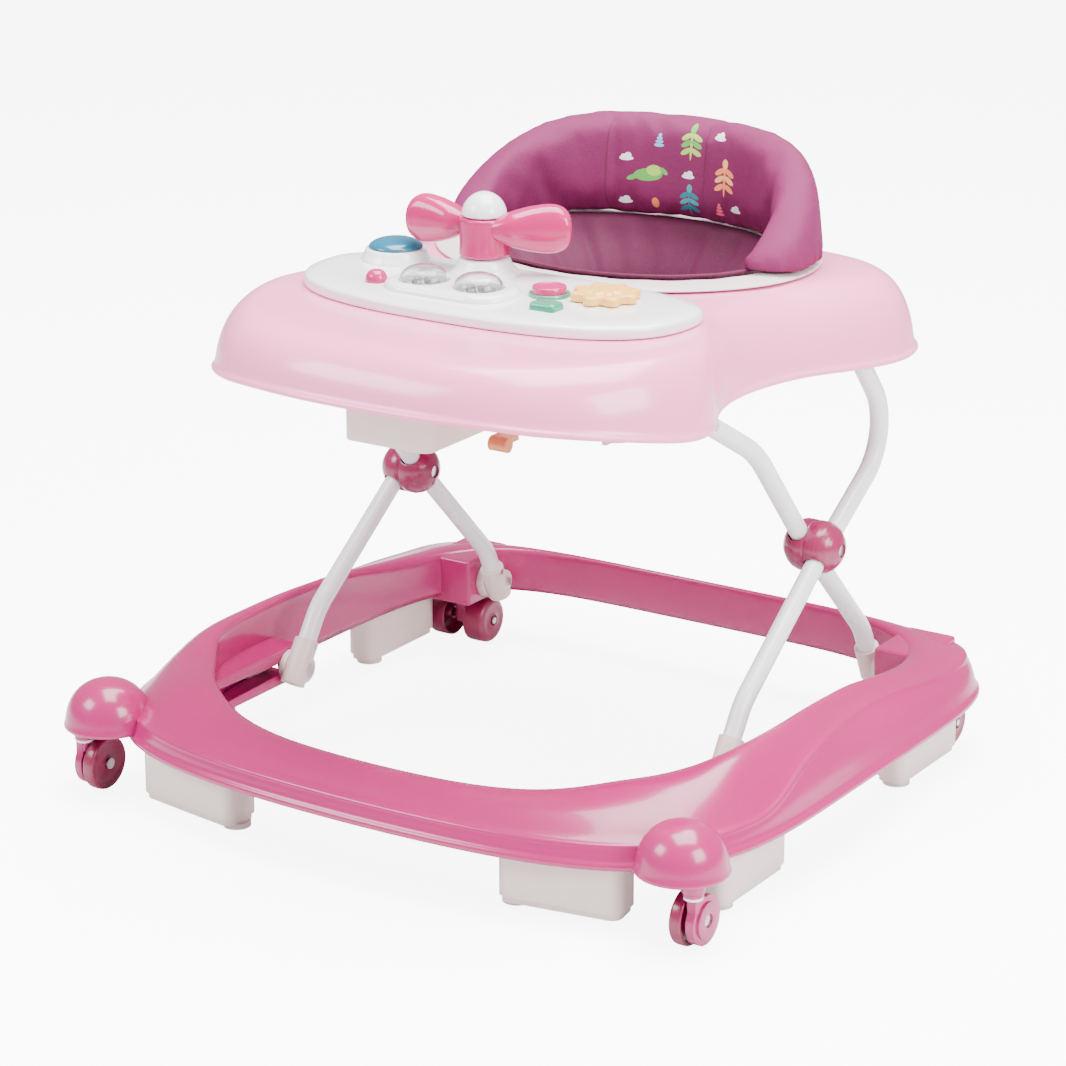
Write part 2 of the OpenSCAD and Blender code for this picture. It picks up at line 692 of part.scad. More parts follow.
module tray_hinges() { place() both() tray_hinge(); }
module tray_hinge_pins() { place() both() tray_hinge_pin(); }
module tray_rail_right() { place() tray_rail(); }
module tray_rail_left() { place() mirror([1, 0, 0]) tray_rail(); }
module slide_pins() { place() both() slide_pin_part(); }

// ---------- battery and music box under the tray ----------
module music_box() {
    color(cream) place() difference() {
        union() {
            translate([-14, 87, 334]) rounded_slab([82, 88, 70], 10);
            translate([30, 96, 352]) rounded_slab([50, 66, 52], 8);
        }
        translate([-14, 87, 337]) rounded_slab([77, 83, 68], 8);
        translate([30, 96, 355]) rounded_slab([45, 61, 50], 6);
        translate([-14, 87, 332]) rounded_slab([50 + fit, 60 + fit, 6], 4);
    }
}

module battery_door() {
    color(off_white) place() {
        translate([-14, 87, 334.4]) rounded_slab([50 - fit, 60 - fit, 2.5], 4);
        for (y = [72:6:102]) translate([-26, y, 333.6]) cube([24, 2, 1.2]);
    }
}

// height lever of the seat, hanging beside the music box
module height_lever() {
    color([0.85, 0.42, 0.18]) place() {
        x_rod([104, 344], 3.5, 55.3, 60);
        translate([60, 82, 334]) cube([3, 34, 12]);
        x_rod([82, 340], 6, 60, 76);
    }
}

// ---------- toy panel ----------
panel_z = tray_top + 0.05;
panel_top = 436;

function panel_pts(m) = [for (t = [0:6:354])
    let (c = cos(t), s = sin(t), a = 176 - m, b = (s < 0 ? 94 : 55) - m, r = super_r(c, s, a, b, s < 0 ?
        2.6 : 3.2))
    [r * c, r * s + 190]];

module toy_panel() {
    color([0.95, 0.95, 0.95]) place() difference() {
        union() {
            translate([0, 0, panel_z]) linear_extrude(8) polygon(panel_pts(0));
            translate([0, 0, panel_z + 7.9]) linear_extrude(2.1) polygon(panel_pts(1.5));
            translate([0, 0, panel_z + 9.9]) linear_extrude(panel_top - panel_z - 9.9)
                polygon(panel_pts(4.5));
            translate([dome_at[0], dome_at[1], panel_top - 1]) cylinder(h = mound + 5, r1 = 29, r2 = 25);
            translate([mound_at[0], mound_at[1], panel_top - 1]) rounded_slab([116, 62, mound + 1], 28);
            translate([post_at[0], post_at[1], panel_top - 1]) rotate_extrude()
                polygon([[0, 0], [29, 0], [27, 3], [23, 9], [hub_r, hub_z - panel_top + 0.6], [0, hub_z -
                    panel_top + 0.6]]);
        }
        for (b = [[ball_at_xy, 9.2], [round_at, 14.2], [post_at, 4.05], [dome_at, 4.05]])
            translate([b[0][0], b[0][1], panel_z + 3]) cylinder(h = 60, r = b[1]);
        translate([square_at[0] - 12.2, square_at[1] - 9.2, panel_z + 3]) cube([24.4, 18.4, 20]);
        for (p = clear_at) translate([p[0], p[1], panel_top - 2]) cylinder(h = 20, r = clear_r + 0.1);
        translate([flower_at[0], flower_at[1], panel_z + 3]) cylinder(h = 20, r = 4 + fit);
    }
}

dome_at = [-119, 210];
ball_at_xy = [-88, 139];
clear_at = [[-47, 147], [4, 148]];
clear_r = 20.4;
mound_at = [-21, 148];
mound = 6;
post_at = [-33, 212];
hub_r = 20.5;
hub_z = 450;
hub_h = 32.6;
blade_z = 474;
round_at = [53, 175];
square_at = [74, 138];
flower_at = [97.5, 187];
button_z = panel_z + 3;

module spin_dome() {
    color([0.16, 0.55, 0.65]) place() translate([dome_at[0], dome_at[1], 0]) {
        translate([0, 0, panel_top + mound + 4.3]) rotate_extrude()
            polygon([[0, 0], [22.4, 0], [22, 1.4], [19, 4], [14.5, 6], [8, 7.5], [0, 8]]);
        translate([0, 0, button_z + 2]) cylinder(h = panel_top - button_z + mound + 3, r = 4);
    }
}

module pink_ball() {
    color([0.92, 0.35, 0.6]) place() translate([ball_at_xy[0], ball_at_xy[1], 0]) {
        translate([0, 0, button_z + 5]) cylinder(h = 4, r = 9);
        translate([0, 0, panel_top - 1]) rotate_extrude() polygon([[0, -4], [9, -4], [9, 3], [7.8, 7],
            [5, 9.8], [0, 11]]);
    }
}

module clear_domes() {
    color([0.9, 0.93, 0.95, 0.4]) place() for (p = clear_at) translate([p[0], p[1], panel_top - 1.7])
        rotate_extrude()
        polygon([[clear_r, 0], [clear_r, 7.7], [19.2, 11.7], [16.4, 15.3], [11.6, 17.9], [6, 19], [0,
            19.3], [0, 17.9],
            [5.6, 17.6], [10.9, 16.6], [15.4, 14.2], [17.9, 11], [18.9, 7.5], [18.9, 0]]);
}

module rattle_balls() {
    color([0.7, 0.7, 0.72]) place() for (p = clear_at, b = [[-9, 2], [0, -9], [9, 3], [-1, 8]])
        translate([p[0] + b[0], p[1] + b[1], panel_top + 2.3]) sphere(r = 4.2, $fn = 24);
}

module propeller() {
    color(pink) place() translate([post_at[0], post_at[1], 0]) difference() {
        union() {
            translate([0, 0, hub_z]) cylinder(h = hub_h, r = hub_r);
            translate([7.6, -11.7, blade_z]) rotate([0, 0, 37]) blade(0, 71);
            translate([0, 0, blade_z]) rotate([0, 0, 181]) blade(12, 59);
        }
        translate([0, 0, hub_z - 2]) cylinder(h = hub_h + 4, r = 4 + fit);
        translate([0, 0, hub_z + hub_h]) cylinder(h = 30, r = 18.7);
    }
}

// one fat paddle along +X from start, its broad side upright
module blade(start, len) {
    translate([start, 0, 0]) intersection() {
        rotate([0, 90, 0]) rotate_extrude() polygon([for (q = blade_shape) [q[1], q[0] * len]]);
        cube([4 * len, 27, 60], center = true);
    }
}

blade_shape = [[0, 0], [0.03, 4.5], [0.14, 9.5], [0.3, 14.5], [0.5, 18.5], [0.7, 20.6], [0.82, 20.2],
    [0.92, 17],
    [0.98, 10.5], [1, 0]];

module propeller_cap() {
    color([0.95, 0.95, 0.95]) place() translate([post_at[0], post_at[1], 0]) {
        translate([0, 0, hub_z + hub_h + 0.2]) rotate_extrude()
            polygon([[0, 0], [18.4, 0], [18.2, 3.5], [16.6, 9], [13, 14], [7.4, 17.8], [0, 19.2]]);
        translate([0, 0, panel_z + 8]) cylinder(h = hub_z + hub_h - panel_z - 7, r = 4);
    }
}

module round_button() {
    color([0.92, 0.35, 0.6]) place() translate([round_at[0], round_at[1], button_z + 5])
        rotate_extrude() polygon([[0, 0], [14, 0], [14, 10], [12.5, 12], [0, 12.6]]);
}

module square_button() {
    color([0.3, 0.68, 0.55]) place() translate([square_at[0], square_at[1], button_z + 5]) {
        rounded_slab([24, 18, 8], 3);
        translate([0, 0, 8]) rounded_slab([22, 16, 1.8], 2.5);
    }
}

module flower_dial() {
    color([0.98, 0.8, 0.45]) place() translate([flower_at[0], flower_at[1], 0]) {
        translate([0, 0, panel_top + 0.4]) {
            linear_extrude(7.4) polygon([for (t = [0:5:355]) (25.6 + 3.2 * cos(8 * t)) * [cos(t), sin(t)]]);
            translate([0, 0, 7.3]) cylinder(h = 1.7, r = 17);
        }
        translate([0, 0, button_z + 2]) cylinder(h = panel_top - button_z, r = 4);
    }
}

// ---------- seat ----------
function oval(rx, ry, a0, a1, st) = [for (t = [a0:st:a1]) [rx * cos(t), ry * sin(t)]];

module seat_trim() {
    color(cream) place() translate([seat_c[0], seat_c[1], tray_top + 0.3]) linear_extrude(5) difference() {
        polygon(oval(hole_r + 34, (hole_r + 34) * hole_y + 1, 0, 354, 6));
        polygon(oval(hole_r - 6, (hole_r - 6) * hole_y, 0, 354, 6));
    }
}

back_slope = 29;

module seat_back() {
    color(fabric) place() difference() {
        translate([seat_c[0], seat_c[1], tray_top + 5.6]) linear_extrude(back_top - tray_top - 4)
            polygon(concat(oval(hole_r + 30, 124, -16, 196, 8), oval(hole_r - 2, 92, 196, -16, -8)));
        translate([-260, 490, back_top]) rotate([back_slope, 0, 0]) translate([0, -400, 0]) cube([520,
            800, 200]);
    }
}

module seat_sling() {
    color(fabric) place() difference() {
        translate([seat_c[0], seat_c[1] - 8, 0]) rotate_extrude()
            polygon([[92, 405], [88, 370], [78, 330], [60, 302], [34, 288], [0, 284], [0, 288.5], [33, 292.5],
                [57, 306], [74, 333], [83.5, 371], [87.5, 405]]);
        for (s = [-1, 1]) translate([seat_c[0] + s * 48, seat_c[1] - 60, 318]) rotate([62, 0, -s * 14])
            cylinder(h = 110, r = 36, center = true);
    }
}

base_frame();
front_stopper_right();
front_stopper_left();
side_front_stopper_right();
side_front_stopper_left();
side_rear_stopper_right();
side_rear_stopper_left();
stopper_feet();
caster_fork_right();
caster_fork_left();
caster_ring_right();
caster_ring_left();
caster_wheel_right();
caster_wheel_left();
caster_screw_right();
caster_screw_left();
rear_axles();
rear_wheel_inner_right();
rear_wheel_outer_right();
rear_wheel_inner_left();
rear_wheel_outer_left();
inner_leg_right();
inner_leg_left();
outer_leg_right();
outer_leg_left();
ball_inner_right();
ball_inner_left();
ball_outer_right();
ball_outer_left();
ball_bolts();
rear_socket_right();
rear_socket_left();
front_socket_right();
front_socket_left();
rear_pins();
front_pins();
rear_socket_screws();
front_socket_screws();
tray_shell();
tray_hinges();
tray_hinge_pins();
tray_rail_right();
tray_rail_left();
slide_pins();
music_box();
battery_door();
height_lever();
toy_panel();
spin_dome();
pink_ball();
clear_domes();
rattle_balls();
propeller();
propeller_cap();
round_button();
square_button();
flower_dial();
seat_trim();
seat_back();
seat_sling();
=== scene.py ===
import math
import bpy
import bmesh
from mathutils import Matrix, Vector
from mathutils.bvhtree import BVHTree
from mathutils.geometry import tessellate_polygon


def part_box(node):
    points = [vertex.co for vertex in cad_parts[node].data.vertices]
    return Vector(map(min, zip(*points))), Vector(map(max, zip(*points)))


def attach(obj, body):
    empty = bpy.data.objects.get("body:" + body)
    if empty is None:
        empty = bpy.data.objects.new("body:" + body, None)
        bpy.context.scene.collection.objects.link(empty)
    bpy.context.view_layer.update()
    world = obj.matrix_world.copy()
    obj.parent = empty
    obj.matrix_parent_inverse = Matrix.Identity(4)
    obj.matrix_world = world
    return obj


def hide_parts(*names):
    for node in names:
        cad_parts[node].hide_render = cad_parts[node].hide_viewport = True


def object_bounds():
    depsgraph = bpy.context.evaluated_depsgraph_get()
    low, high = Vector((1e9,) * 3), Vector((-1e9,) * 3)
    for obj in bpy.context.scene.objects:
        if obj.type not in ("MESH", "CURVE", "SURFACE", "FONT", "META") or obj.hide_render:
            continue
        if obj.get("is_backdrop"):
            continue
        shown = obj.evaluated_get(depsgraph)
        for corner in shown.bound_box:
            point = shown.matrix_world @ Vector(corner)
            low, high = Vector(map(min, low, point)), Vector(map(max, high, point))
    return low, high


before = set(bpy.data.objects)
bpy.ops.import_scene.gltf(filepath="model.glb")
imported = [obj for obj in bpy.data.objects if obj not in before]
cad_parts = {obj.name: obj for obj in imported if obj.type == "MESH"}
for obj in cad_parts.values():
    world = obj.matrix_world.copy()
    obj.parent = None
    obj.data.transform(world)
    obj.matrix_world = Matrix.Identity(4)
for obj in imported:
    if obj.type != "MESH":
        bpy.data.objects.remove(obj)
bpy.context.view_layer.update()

MM = 0.001
# the design's Y counts back from the caster stems; the frame's Y from the middle of the base
Y_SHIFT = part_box("caster_ring_right")[0][1] / 2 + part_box("caster_ring_right")[1][1] / 2


def at(x, y, z):
    """A point given in the design's millimetres, as a point of the frame."""
    return Vector((x * MM, y * MM + Y_SHIFT, z * MM))


# ---------- materials ----------

def new_material(name):
    mat = bpy.data.materials.new(name)
    mat.use_nodes = True
    tree = mat.node_tree
    shader = tree.nodes["Principled BSDF"]
    coords = tree.nodes.new("ShaderNodeTexCoord")
    return mat, tree, shader, coords


def noise(tree, coords, scale, detail=3.0, rough=0.5):
    node = tree.nodes.new("ShaderNodeTexNoise")
    node.inputs["Scale"].default_value = scale
    node.inputs["Detail"].default_value = detail
    node.inputs["Roughness"].default_value = rough
    tree.links.new(coords.outputs["Object"], node.inputs["Vector"])
    return node


def ramp(tree, source, stops):
    node = tree.nodes.new("ShaderNodeValToRGB")
    cr = node.color_ramp
    while len(cr.elements) < len(stops):
        cr.elements.new(0.5)
    for element, (pos, col) in zip(cr.elements, stops):
        element.position = pos
        element.color = (*col, 1.0)
    tree.links.new(source, node.inputs["Fac"])
    return node


def bump(tree, shader, source, strength, distance):
    node = tree.nodes.new("ShaderNodeBump")
    node.inputs["Strength"].default_value = strength
    node.inputs["Distance"].default_value = distance
    tree.links.new(source, node.inputs["Height"])
    tree.links.new(node.outputs["Normal"], shader.inputs["Normal"])
    return node


def shade(col, k):
    return tuple(min(1.0, c * k) for c in col)


def plastic(name, col, rough=0.25, coat=0.0, vary=0.04, grain=0.02, subsurface=0.0):
    """Moulded plastic: slight flow marks in the colour, a faint orange peel and uneven gloss."""
    mat, tree, shader, coords = new_material(name)
    flow = noise(tree, coords, 9.0, 4.0, 0.55)
    tone = ramp(tree, flow.outputs["Fac"], [(0.3, shade(col, 1 - vary)), (0.72, shade(col, 1 + vary))])
    tree.links.new(tone.outputs["Color"], shader.inputs["Base Color"])
    gloss = noise(tree, coords, 34.0, 2.0)
    spread = tree.nodes.new("ShaderNodeMapRange")
    spread.inputs["To Min"].default_value = rough * 0.85
    spread.inputs["To Max"].default_value = rough * 1.2
    tree.links.new(gloss.outputs["Fac"], spread.inputs["Value"])
    tree.links.new(spread.outputs["Result"], shader.inputs["Roughness"])
    peel = noise(tree, coords, 420.0, 2.0)
    bump(tree, shader, peel.outputs["Fac"], grain, 0.0006)
    shader.inputs["Coat Weight"].default_value = coat
    shader.inputs["Coat Roughness"].default_value = 0.06
    shader.inputs["Subsurface Weight"].default_value = subsurface
    shader.inputs["Subsurface Radius"].default_value = (0.02, 0.008, 0.01)
    return mat


def cloth(name, col, dark, sheen=0.5, weave=1150.0, rough=0.75):
    """Fine woven polyester: thread relief, broad colour drift and a soft sheen."""
    mat, tree, shader, coords = new_material(name)
    drift = noise(tree, coords, 7.0, 5.0, 0.6)
    tone = ramp(tree, drift.outputs["Fac"], [(0.3, dark), (0.7, col)])
    thread = tree.nodes.new("ShaderNodeTexVoronoi")
    thread.inputs["Scale"].default_value = weave
    tree.links.new(coords.outputs["Object"], thread.inputs["Vector"])
    fleck = tree.nodes.new("ShaderNodeMix")
    fleck.data_type = "RGBA"
    fleck.blend_type = "MULTIPLY"
    fleck.inputs["Factor"].default_value = 0.22
    tree.links.new(tone.outputs["Color"], fleck.inputs[6])
    weave_tone = ramp(tree, thread.outputs["Distance"], [(0.0, (1, 1, 1)), (0.9, (0.55, 0.55, 0.55))])
    tree.links.new(weave_tone.outputs["Color"], fleck.inputs[7])
    tree.links.new(fleck.outputs[2], shader.inputs["Base Color"])
    crease = noise(tree, coords, 26.0, 4.0, 0.6)
    add = tree.nodes.new("ShaderNodeMath")
    add.operation = "MULTIPLY_ADD"
    add.inputs[1].default_value = 6.0
    tree.links.new(crease.outputs["Fac"], add.inputs[0])
    tree.links.new(thread.outputs["Distance"], add.inputs[2])
    bump(tree, shader, add.outputs["Value"], 0.35, 0.0005)
    shader.inputs["Roughness"].default_value = rough
    shader.inputs["Sheen Weight"].default_value = sheen
    shader.inputs["Sheen Roughness"].default_value = 0.45
    shader.inputs["Sheen Tint"].default_value = (*shade(col, 2.2), 1.0)
    return mat


def metal(name, col, rough):
    mat, tree, shader, coords = new_material(name)
    scratch = noise(tree, coords, 260.0, 3.0)
    tone = ramp(tree, scratch.outputs["Fac"], [(0.35, shade(col, 0.85)), (0.65, col)])
    tree.links.new(tone.outputs["Color"], shader.inputs["Base Color"])
    bump(tree, shader, scratch.outputs["Fac"], 0.05, 0.0003)
    shader.inputs["Metallic"].default_value = 1.0
    shader.inputs["Roughness"].default_value = rough
    return mat


def clear(name):
    mat, tree, shader, coords = new_material(name)
    haze = noise(tree, coords, 60.0, 2.0)
    tone = ramp(tree, haze.outputs["Fac"], [(0.3, (0.96, 0.97, 0.98)), (0.7, (1.0, 1.0, 1.0))])
    tree.links.new(tone.outputs["Color"], shader.inputs["Base Color"])
    bump(tree, shader, haze.outputs["Fac"], 0.02, 0.0005)
    shader.inputs["Roughness"].default_value = 0.04
    shader.inputs["Transmission Weight"].default_value = 0.95
    shader.inputs["IOR"].default_value = 1.35
    return mat


def add_prints(mat, prints, centre, oval_mm):
    """Prints ovals on the seat back's inner face, each given as x, z, half sizes, turn and colour."""
    tree = mat.node_tree
    shader = tree.nodes["Principled BSDF"]
    coords = next(n for n in tree.nodes if n.type == "TEX_COORD")
    current = shader.inputs["Base Color"].links[0].from_socket

    def inside(place, turn, size):
        shift = tree.nodes.new("ShaderNodeVectorMath")
        shift.operation = "SUBTRACT"
        shift.inputs[1].default_value = place
        tree.links.new(coords.outputs["Object"], shift.inputs[0])
        spin = tree.nodes.new("ShaderNodeVectorRotate")
        spin.rotation_type = "Y_AXIS"
        spin.inputs["Angle"].default_value = turn
        tree.links.new(shift.outputs[0], spin.inputs["Vector"])
        scale = tree.nodes.new("ShaderNodeVectorMath")
        scale.operation = "MULTIPLY"
        scale.inputs[1].default_value = size
        tree.links.new(spin.outputs[0], scale.inputs[0])
        length = tree.nodes.new("ShaderNodeVectorMath")
        length.operation = "LENGTH"
        tree.links.new(scale.outputs[0], length.inputs[0])
        less = tree.nodes.new("ShaderNodeMath")
        less.operation = "LESS_THAN"
        less.inputs[1].default_value = 1.0
        tree.links.new(length.outputs["Value"], less.inputs[0])
        return less

    face = inside(centre, 0.0, (1 / (oval_mm[0] * MM), 1 / (oval_mm[1] * MM), 0.0))
    for x, z, a, b, turn, col in prints:
        spot = inside((x * MM, 0.0, z * MM), math.radians(turn), (1 / (a * MM), 0.0, 1 / (b * MM)))
        both = tree.nodes.new("ShaderNodeMath")
        both.operation = "MULTIPLY"
        tree.links.new(spot.outputs[0], both.inputs[0])
        tree.links.new(face.outputs[0], both.inputs[1])
        mix = tree.nodes.new("ShaderNodeMix")
        mix.data_type = "RGBA"
        mix.inputs[7].default_value = (*col, 1.0)
        tree.links.new(both.outputs[0], mix.inputs["Factor"])
        tree.links.new(current, mix.inputs[6])
        current = mix.outputs[2]
    tree.links.new(current, shader.inputs["Base Color"])


def cloud(x, z):
    white = (0.86, 0.80, 0.86)
    return [(x, z, 6.2, 1.9, 0, white),
            (x - 2.4, z + 1.6, 2.3, 2.0, 0, white),
            (x + 1.4, z + 2.4, 2.9, 2.7, 0, white)]


def sprig(x, z, size, col, light):
    """A stem with paired leaves."""
    out = [(x, z, 0.09 * size, size, 0, col), (x, z + size, 0.22 * size, 0.3 * size, 0, light)]
    for k, dz in enumerate((-0.45, 0.05, 0.5)):
        for sx in (-1, 1):
            tone = light if k == 1 else col
            out.append((x + sx * 0.38 * size, z + dz * size, 0.42 * size, 0.17 * size, -sx * 28, tone))
    return out


def stacked_rings(x, z, col):
    return [(x, z - 4, 4.6, 1.5, 0, col), (x, z - 1, 3.6, 1.4, 0, col), (x, z + 1.8, 2.6, 1.3, 0, col),
            (x, z + 4.4, 1.5, 1.4, 0, col)]


LEAF, LIME, ORANGE = (0.10, 0.42, 0.06), (0.36, 0.62, 0.08), (0.90, 0.26, 0.08)
STITCH = (0.10, 0.004, 0.035)
SEAM_THREADS = [(-68, 462, 0.55, 95, 0, STITCH), (21.5, 470, 0.5, 100, 0, STITCH)]
PRINTS = (SEAM_THREADS + sprig(7, 499, 13, LIME, LEAF) + sprig(45, 474, 14, ORANGE, (0.95, 0.42, 0.16))
          + sprig(8, 450, 12, (0.01, 0.20, 0.26), (0.03, 0.34, 0.36))
          + [(-32, 470, 13, 5.4, 4, LEAF), (-27, 474, 7, 4.6, 0, LIME), (-46, 467, 5, 2.2, 20, LEAF)]
          + [(-18, 474, 4.4, 2, -35, LEAF), (-25, 446, 3.4, 4.6, 0, ORANGE)]
          + cloud(-52, 483) + cloud(36, 508) + cloud(6, 472) + cloud(-53, 445) + cloud(59, 450)
          + stacked_rings(-24, 500, (0.16, 0.45, 0.72)) + stacked_rings(40, 448, (0.86, 0.10, 0.20)))

PINK = (0.40, 0.010, 0.125)
M = {
    "base": plastic("base_pink_plastic", PINK, 0.24, 0.3, 0.05),
    "tray": plastic("tray_pink_plastic", (0.97, 0.27, 0.50), 0.2, 0.2, 0.03, subsurface=0.05),
    "deep": plastic("deep_pink_plastic", (0.27, 0.012, 0.075), 0.26, 0.3),
    "wheel": plastic("wheel_pink_plastic", (0.24, 0.008, 0.058), 0.3, 0.25),
    "cream": plastic("cream_plastic", (0.74, 0.62, 0.585), 0.42, 0.1, 0.03, 0.05),
    "white": plastic("white_plastic", (0.90, 0.90, 0.92), 0.2, 0.6, 0.02),
    "tube": plastic("white_powder_coat", (0.82, 0.83, 0.85), 0.28, 0.3, 0.02, 0.06),
    "rubber": plastic("soft_foot", (0.66, 0.56, 0.53), 0.6, 0.0, 0.03, 0.1),
    "teal": plastic("teal_plastic", (0.004, 0.13, 0.22), 0.2, 0.3),
    "green": plastic("green_plastic", (0.02, 0.28, 0.16), 0.15, 0.4, subsurface=0.05),
    "yellow": plastic("yellow_plastic", (0.96, 0.50, 0.11), 0.3, 0.25, subsurface=0.05),
    "toy_pink": plastic("toy_pink_plastic", (0.50, 0.012, 0.13), 0.2, 0.3),
    "propeller": plastic("propeller_pink_plastic", (0.50, 0.008, 0.13), 0.16, 0.2, subsurface=0.05),
    "orange": plastic("orange_plastic", (0.62, 0.20, 0.06), 0.35, 0.2),
    "dark": plastic("bead_grey", (0.18, 0.17, 0.18), 0.2, 0.4),
    "steel": metal("zinc_steel", (0.62, 0.62, 0.64), 0.32),
    "clear": clear("clear_plastic"),
    "plum": cloth("plum_fabric", (0.185, 0.003, 0.078), (0.15, 0.002, 0.062), 0.1),
    # the sling's fabric is a darker copy of the plum fabric with less sheen: painted shade for the hollow
    # inside the seat
    "plum_in_shaded": cloth("plum_sling_fabric_painted_shade", (0.12, 0.002, 0.045), (0.08, 0.002, 0.032), 0.06),
    "trim": cloth("pale_trim_fabric", (0.80, 0.66, 0.66), (0.72, 0.57, 0.58), 0.2, 900.0, 0.5),
}


M["plum_printed"] = M["plum"].copy()
M["plum_printed"].name = "plum_printed_fabric"
add_prints(M["plum_printed"], PRINTS, (0, 378 * MM + Y_SHIFT, 0), (141, 103))


# ---------- mesh helpers ----------

def mesh_piece(name, verts, faces, mat, body, sub=0, sharp=None, ride=True):
    mesh = bpy.data.meshes.new(name)
    mesh.from_pydata([tuple(v) for v in verts], [], faces)
    mesh.validate()
    obj = bpy.data.objects.new(name, mesh)
    bpy.context.scene.collection.objects.link(obj)
    bm = bmesh.new()
    bm.from_mesh(mesh)
    bmesh.ops.recalc_face_normals(bm, faces=bm.faces)
    bm.to_mesh(mesh)
    bm.free()
    mesh.shade_smooth()
    if sharp is not None:
        mesh.set_sharp_from_angle(angle=math.radians(sharp))
    mesh.materials.append(mat)
    if sub:
        mod = obj.modifiers.new("smooth", "SUBSURF")
        mod.levels = sub
        mod.render_levels = sub
    if ride:
        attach(obj, body)
    return obj


def loop_skin(name, sections, mat, body, sub=1, sharp=None):
    """A closed skin through a closed loop of sections with the same number of points."""
    n, m = len(sections), len(sections[0])
    verts = [p for s in sections for p in s]
    faces = [(i * m + j, i * m + (j + 1) % m, ((i + 1) % n) * m + (j + 1) % m, ((i + 1) % n) * m + j)
             for i in range(n) for j in range(m)]
    return mesh_piece(name, verts, faces, mat, body, sub, sharp)


def lathe(name, profile, centre, mat, body, axis="Z", segs=64, sub=1, sharp=None, flip=False):
    """Turns (radius, height) points in millimetres round an axis; ends on the axis are capped."""
    verts, faces, rings = [], [], []
    for r, h in profile:
        if r < 1e-6:
            rings.append([len(verts)])
            verts.append((0.0, 0.0, h))
        else:
            rings.append(list(range(len(verts), len(verts) + segs)))
            verts += [(r * math.cos(2 * math.pi * k / segs), r * math.sin(2 * math.pi * k / segs), h)
                      for k in range(segs)]
    closed = profile[0][0] > 1e-6 and profile[-1][0] > 1e-6
    pairs = list(zip(rings, rings[1:])) + ([(rings[-1], rings[0])] if closed else [])
    for a, b in pairs:
        if len(a) == 1 and len(b) == 1:
            continue
        for k in range(segs):
            q = (k + 1) % segs
            if len(a) == 1:
                faces.append((a[0], b[k], b[q]))
            elif len(b) == 1:
                faces.append((a[k], a[q], b[0]))
            else:
                faces.append((a[k], a[q], b[q], b[k]))
    s = -1 if flip else 1
    turn = {"Z": lambda v: (v[0], v[1], s * v[2]), "X": lambda v: (s * v[2], v[0], v[1])}[axis]
    c = at(*centre)
    return mesh_piece(name, [c + Vector(turn(v)) * MM for v in verts], faces, mat, body, sub, sharp)


def rounded(name, low, high, radius, mat, body, segs=4):
    """A block with rounded edges between two corners in design millimetres."""
    a, b = at(*low), at(*high)
    mid = (a + b) / 2
    half = (b - a) / 2
    verts = []
    for sz in (-1, 1):
        for sx, sy in ((-1, -1), (1, -1), (1, 1), (-1, 1)):
            verts.append(mid + Vector((sx * half.x, sy * half.y, sz * half.z)))
    faces = [(0, 3, 2, 1), (4, 5, 6, 7), (0, 1, 5, 4), (1, 2, 6, 5), (2, 3, 7, 6), (3, 0, 4, 7)]
    obj = mesh_piece(name, verts, faces, mat, body)
    mod = obj.modifiers.new("edges", "BEVEL")
    mod.width = radius * MM
    mod.segments = segs
    mod.limit_method = "ANGLE"
    mod.harden_normals = True
    return obj


def finish_node(node, mat, bevel=0.0, angle=32.0):
    """Gives a carried-over CAD node its material and soft edges."""
    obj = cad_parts[node]
    obj.data.materials.clear()
    obj.data.materials.append(mat)
    mod = obj.modifiers.new("weld", "WELD")
    mod.merge_threshold = 1e-6
    if bevel:
        mod = obj.modifiers.new("edges", "BEVEL")
        mod.width = bevel * MM
        mod.segments = 3
        mod.limit_method = "ANGLE"
        mod.angle_limit = math.radians(angle)
        mod.harden_normals = False
        mod.use_clamp_overlap = True
    smooth_by_angle(obj, angle)
    return obj


def smooth_by_angle(obj, angle):
    tree = bpy.data.node_groups.get("smooth_%d" % angle)
    if tree is None:
        tree = bpy.data.node_groups.new("smooth_%d" % angle, "GeometryNodeTree")
        tree.interface.new_socket("Geometry", in_out="INPUT", socket_type="NodeSocketGeometry")
        tree.interface.new_socket("Geometry", in_out="OUTPUT", socket_type="NodeSocketGeometry")
        gin, gout = tree.nodes.new("NodeGroupInput"), tree.nodes.new("NodeGroupOutput")
        soft = tree.nodes.new("GeometryNodeSetShadeSmooth")
        edge = tree.nodes.new("GeometryNodeInputMeshEdgeAngle")
        less = tree.nodes.new("FunctionNodeCompare")
        less.operation = "LESS_THAN"
        less.inputs["B"].default_value = math.radians(angle)
        sharp = tree.nodes.new("GeometryNodeSetShadeSmooth")
        sharp.domain = "EDGE"
        tree.links.new(gin.outputs[0], soft.inputs[0])
        tree.links.new(edge.outputs["Unsigned Angle"], less.inputs["A"])
        tree.links.new(soft.outputs[0], sharp.inputs[0])
        tree.links.new(less.outputs[0], sharp.inputs["Shade Smooth"])
        tree.links.new(sharp.outputs[0], gout.inputs[0])
    mod = obj.modifiers.new("soft_shading", "NODES")
    mod.node_group = tree


def lookup(x, table):
    if x <= table[0][0]:
        return table[0][1]
    for (x0, y0), (x1, y1) in zip(table, table[1:]):
        if x <= x1:
            return y0 + (y1 - y0) * (x - x0) / (x1 - x0)
    return table[-1][1]


# ---------- base ring ----------

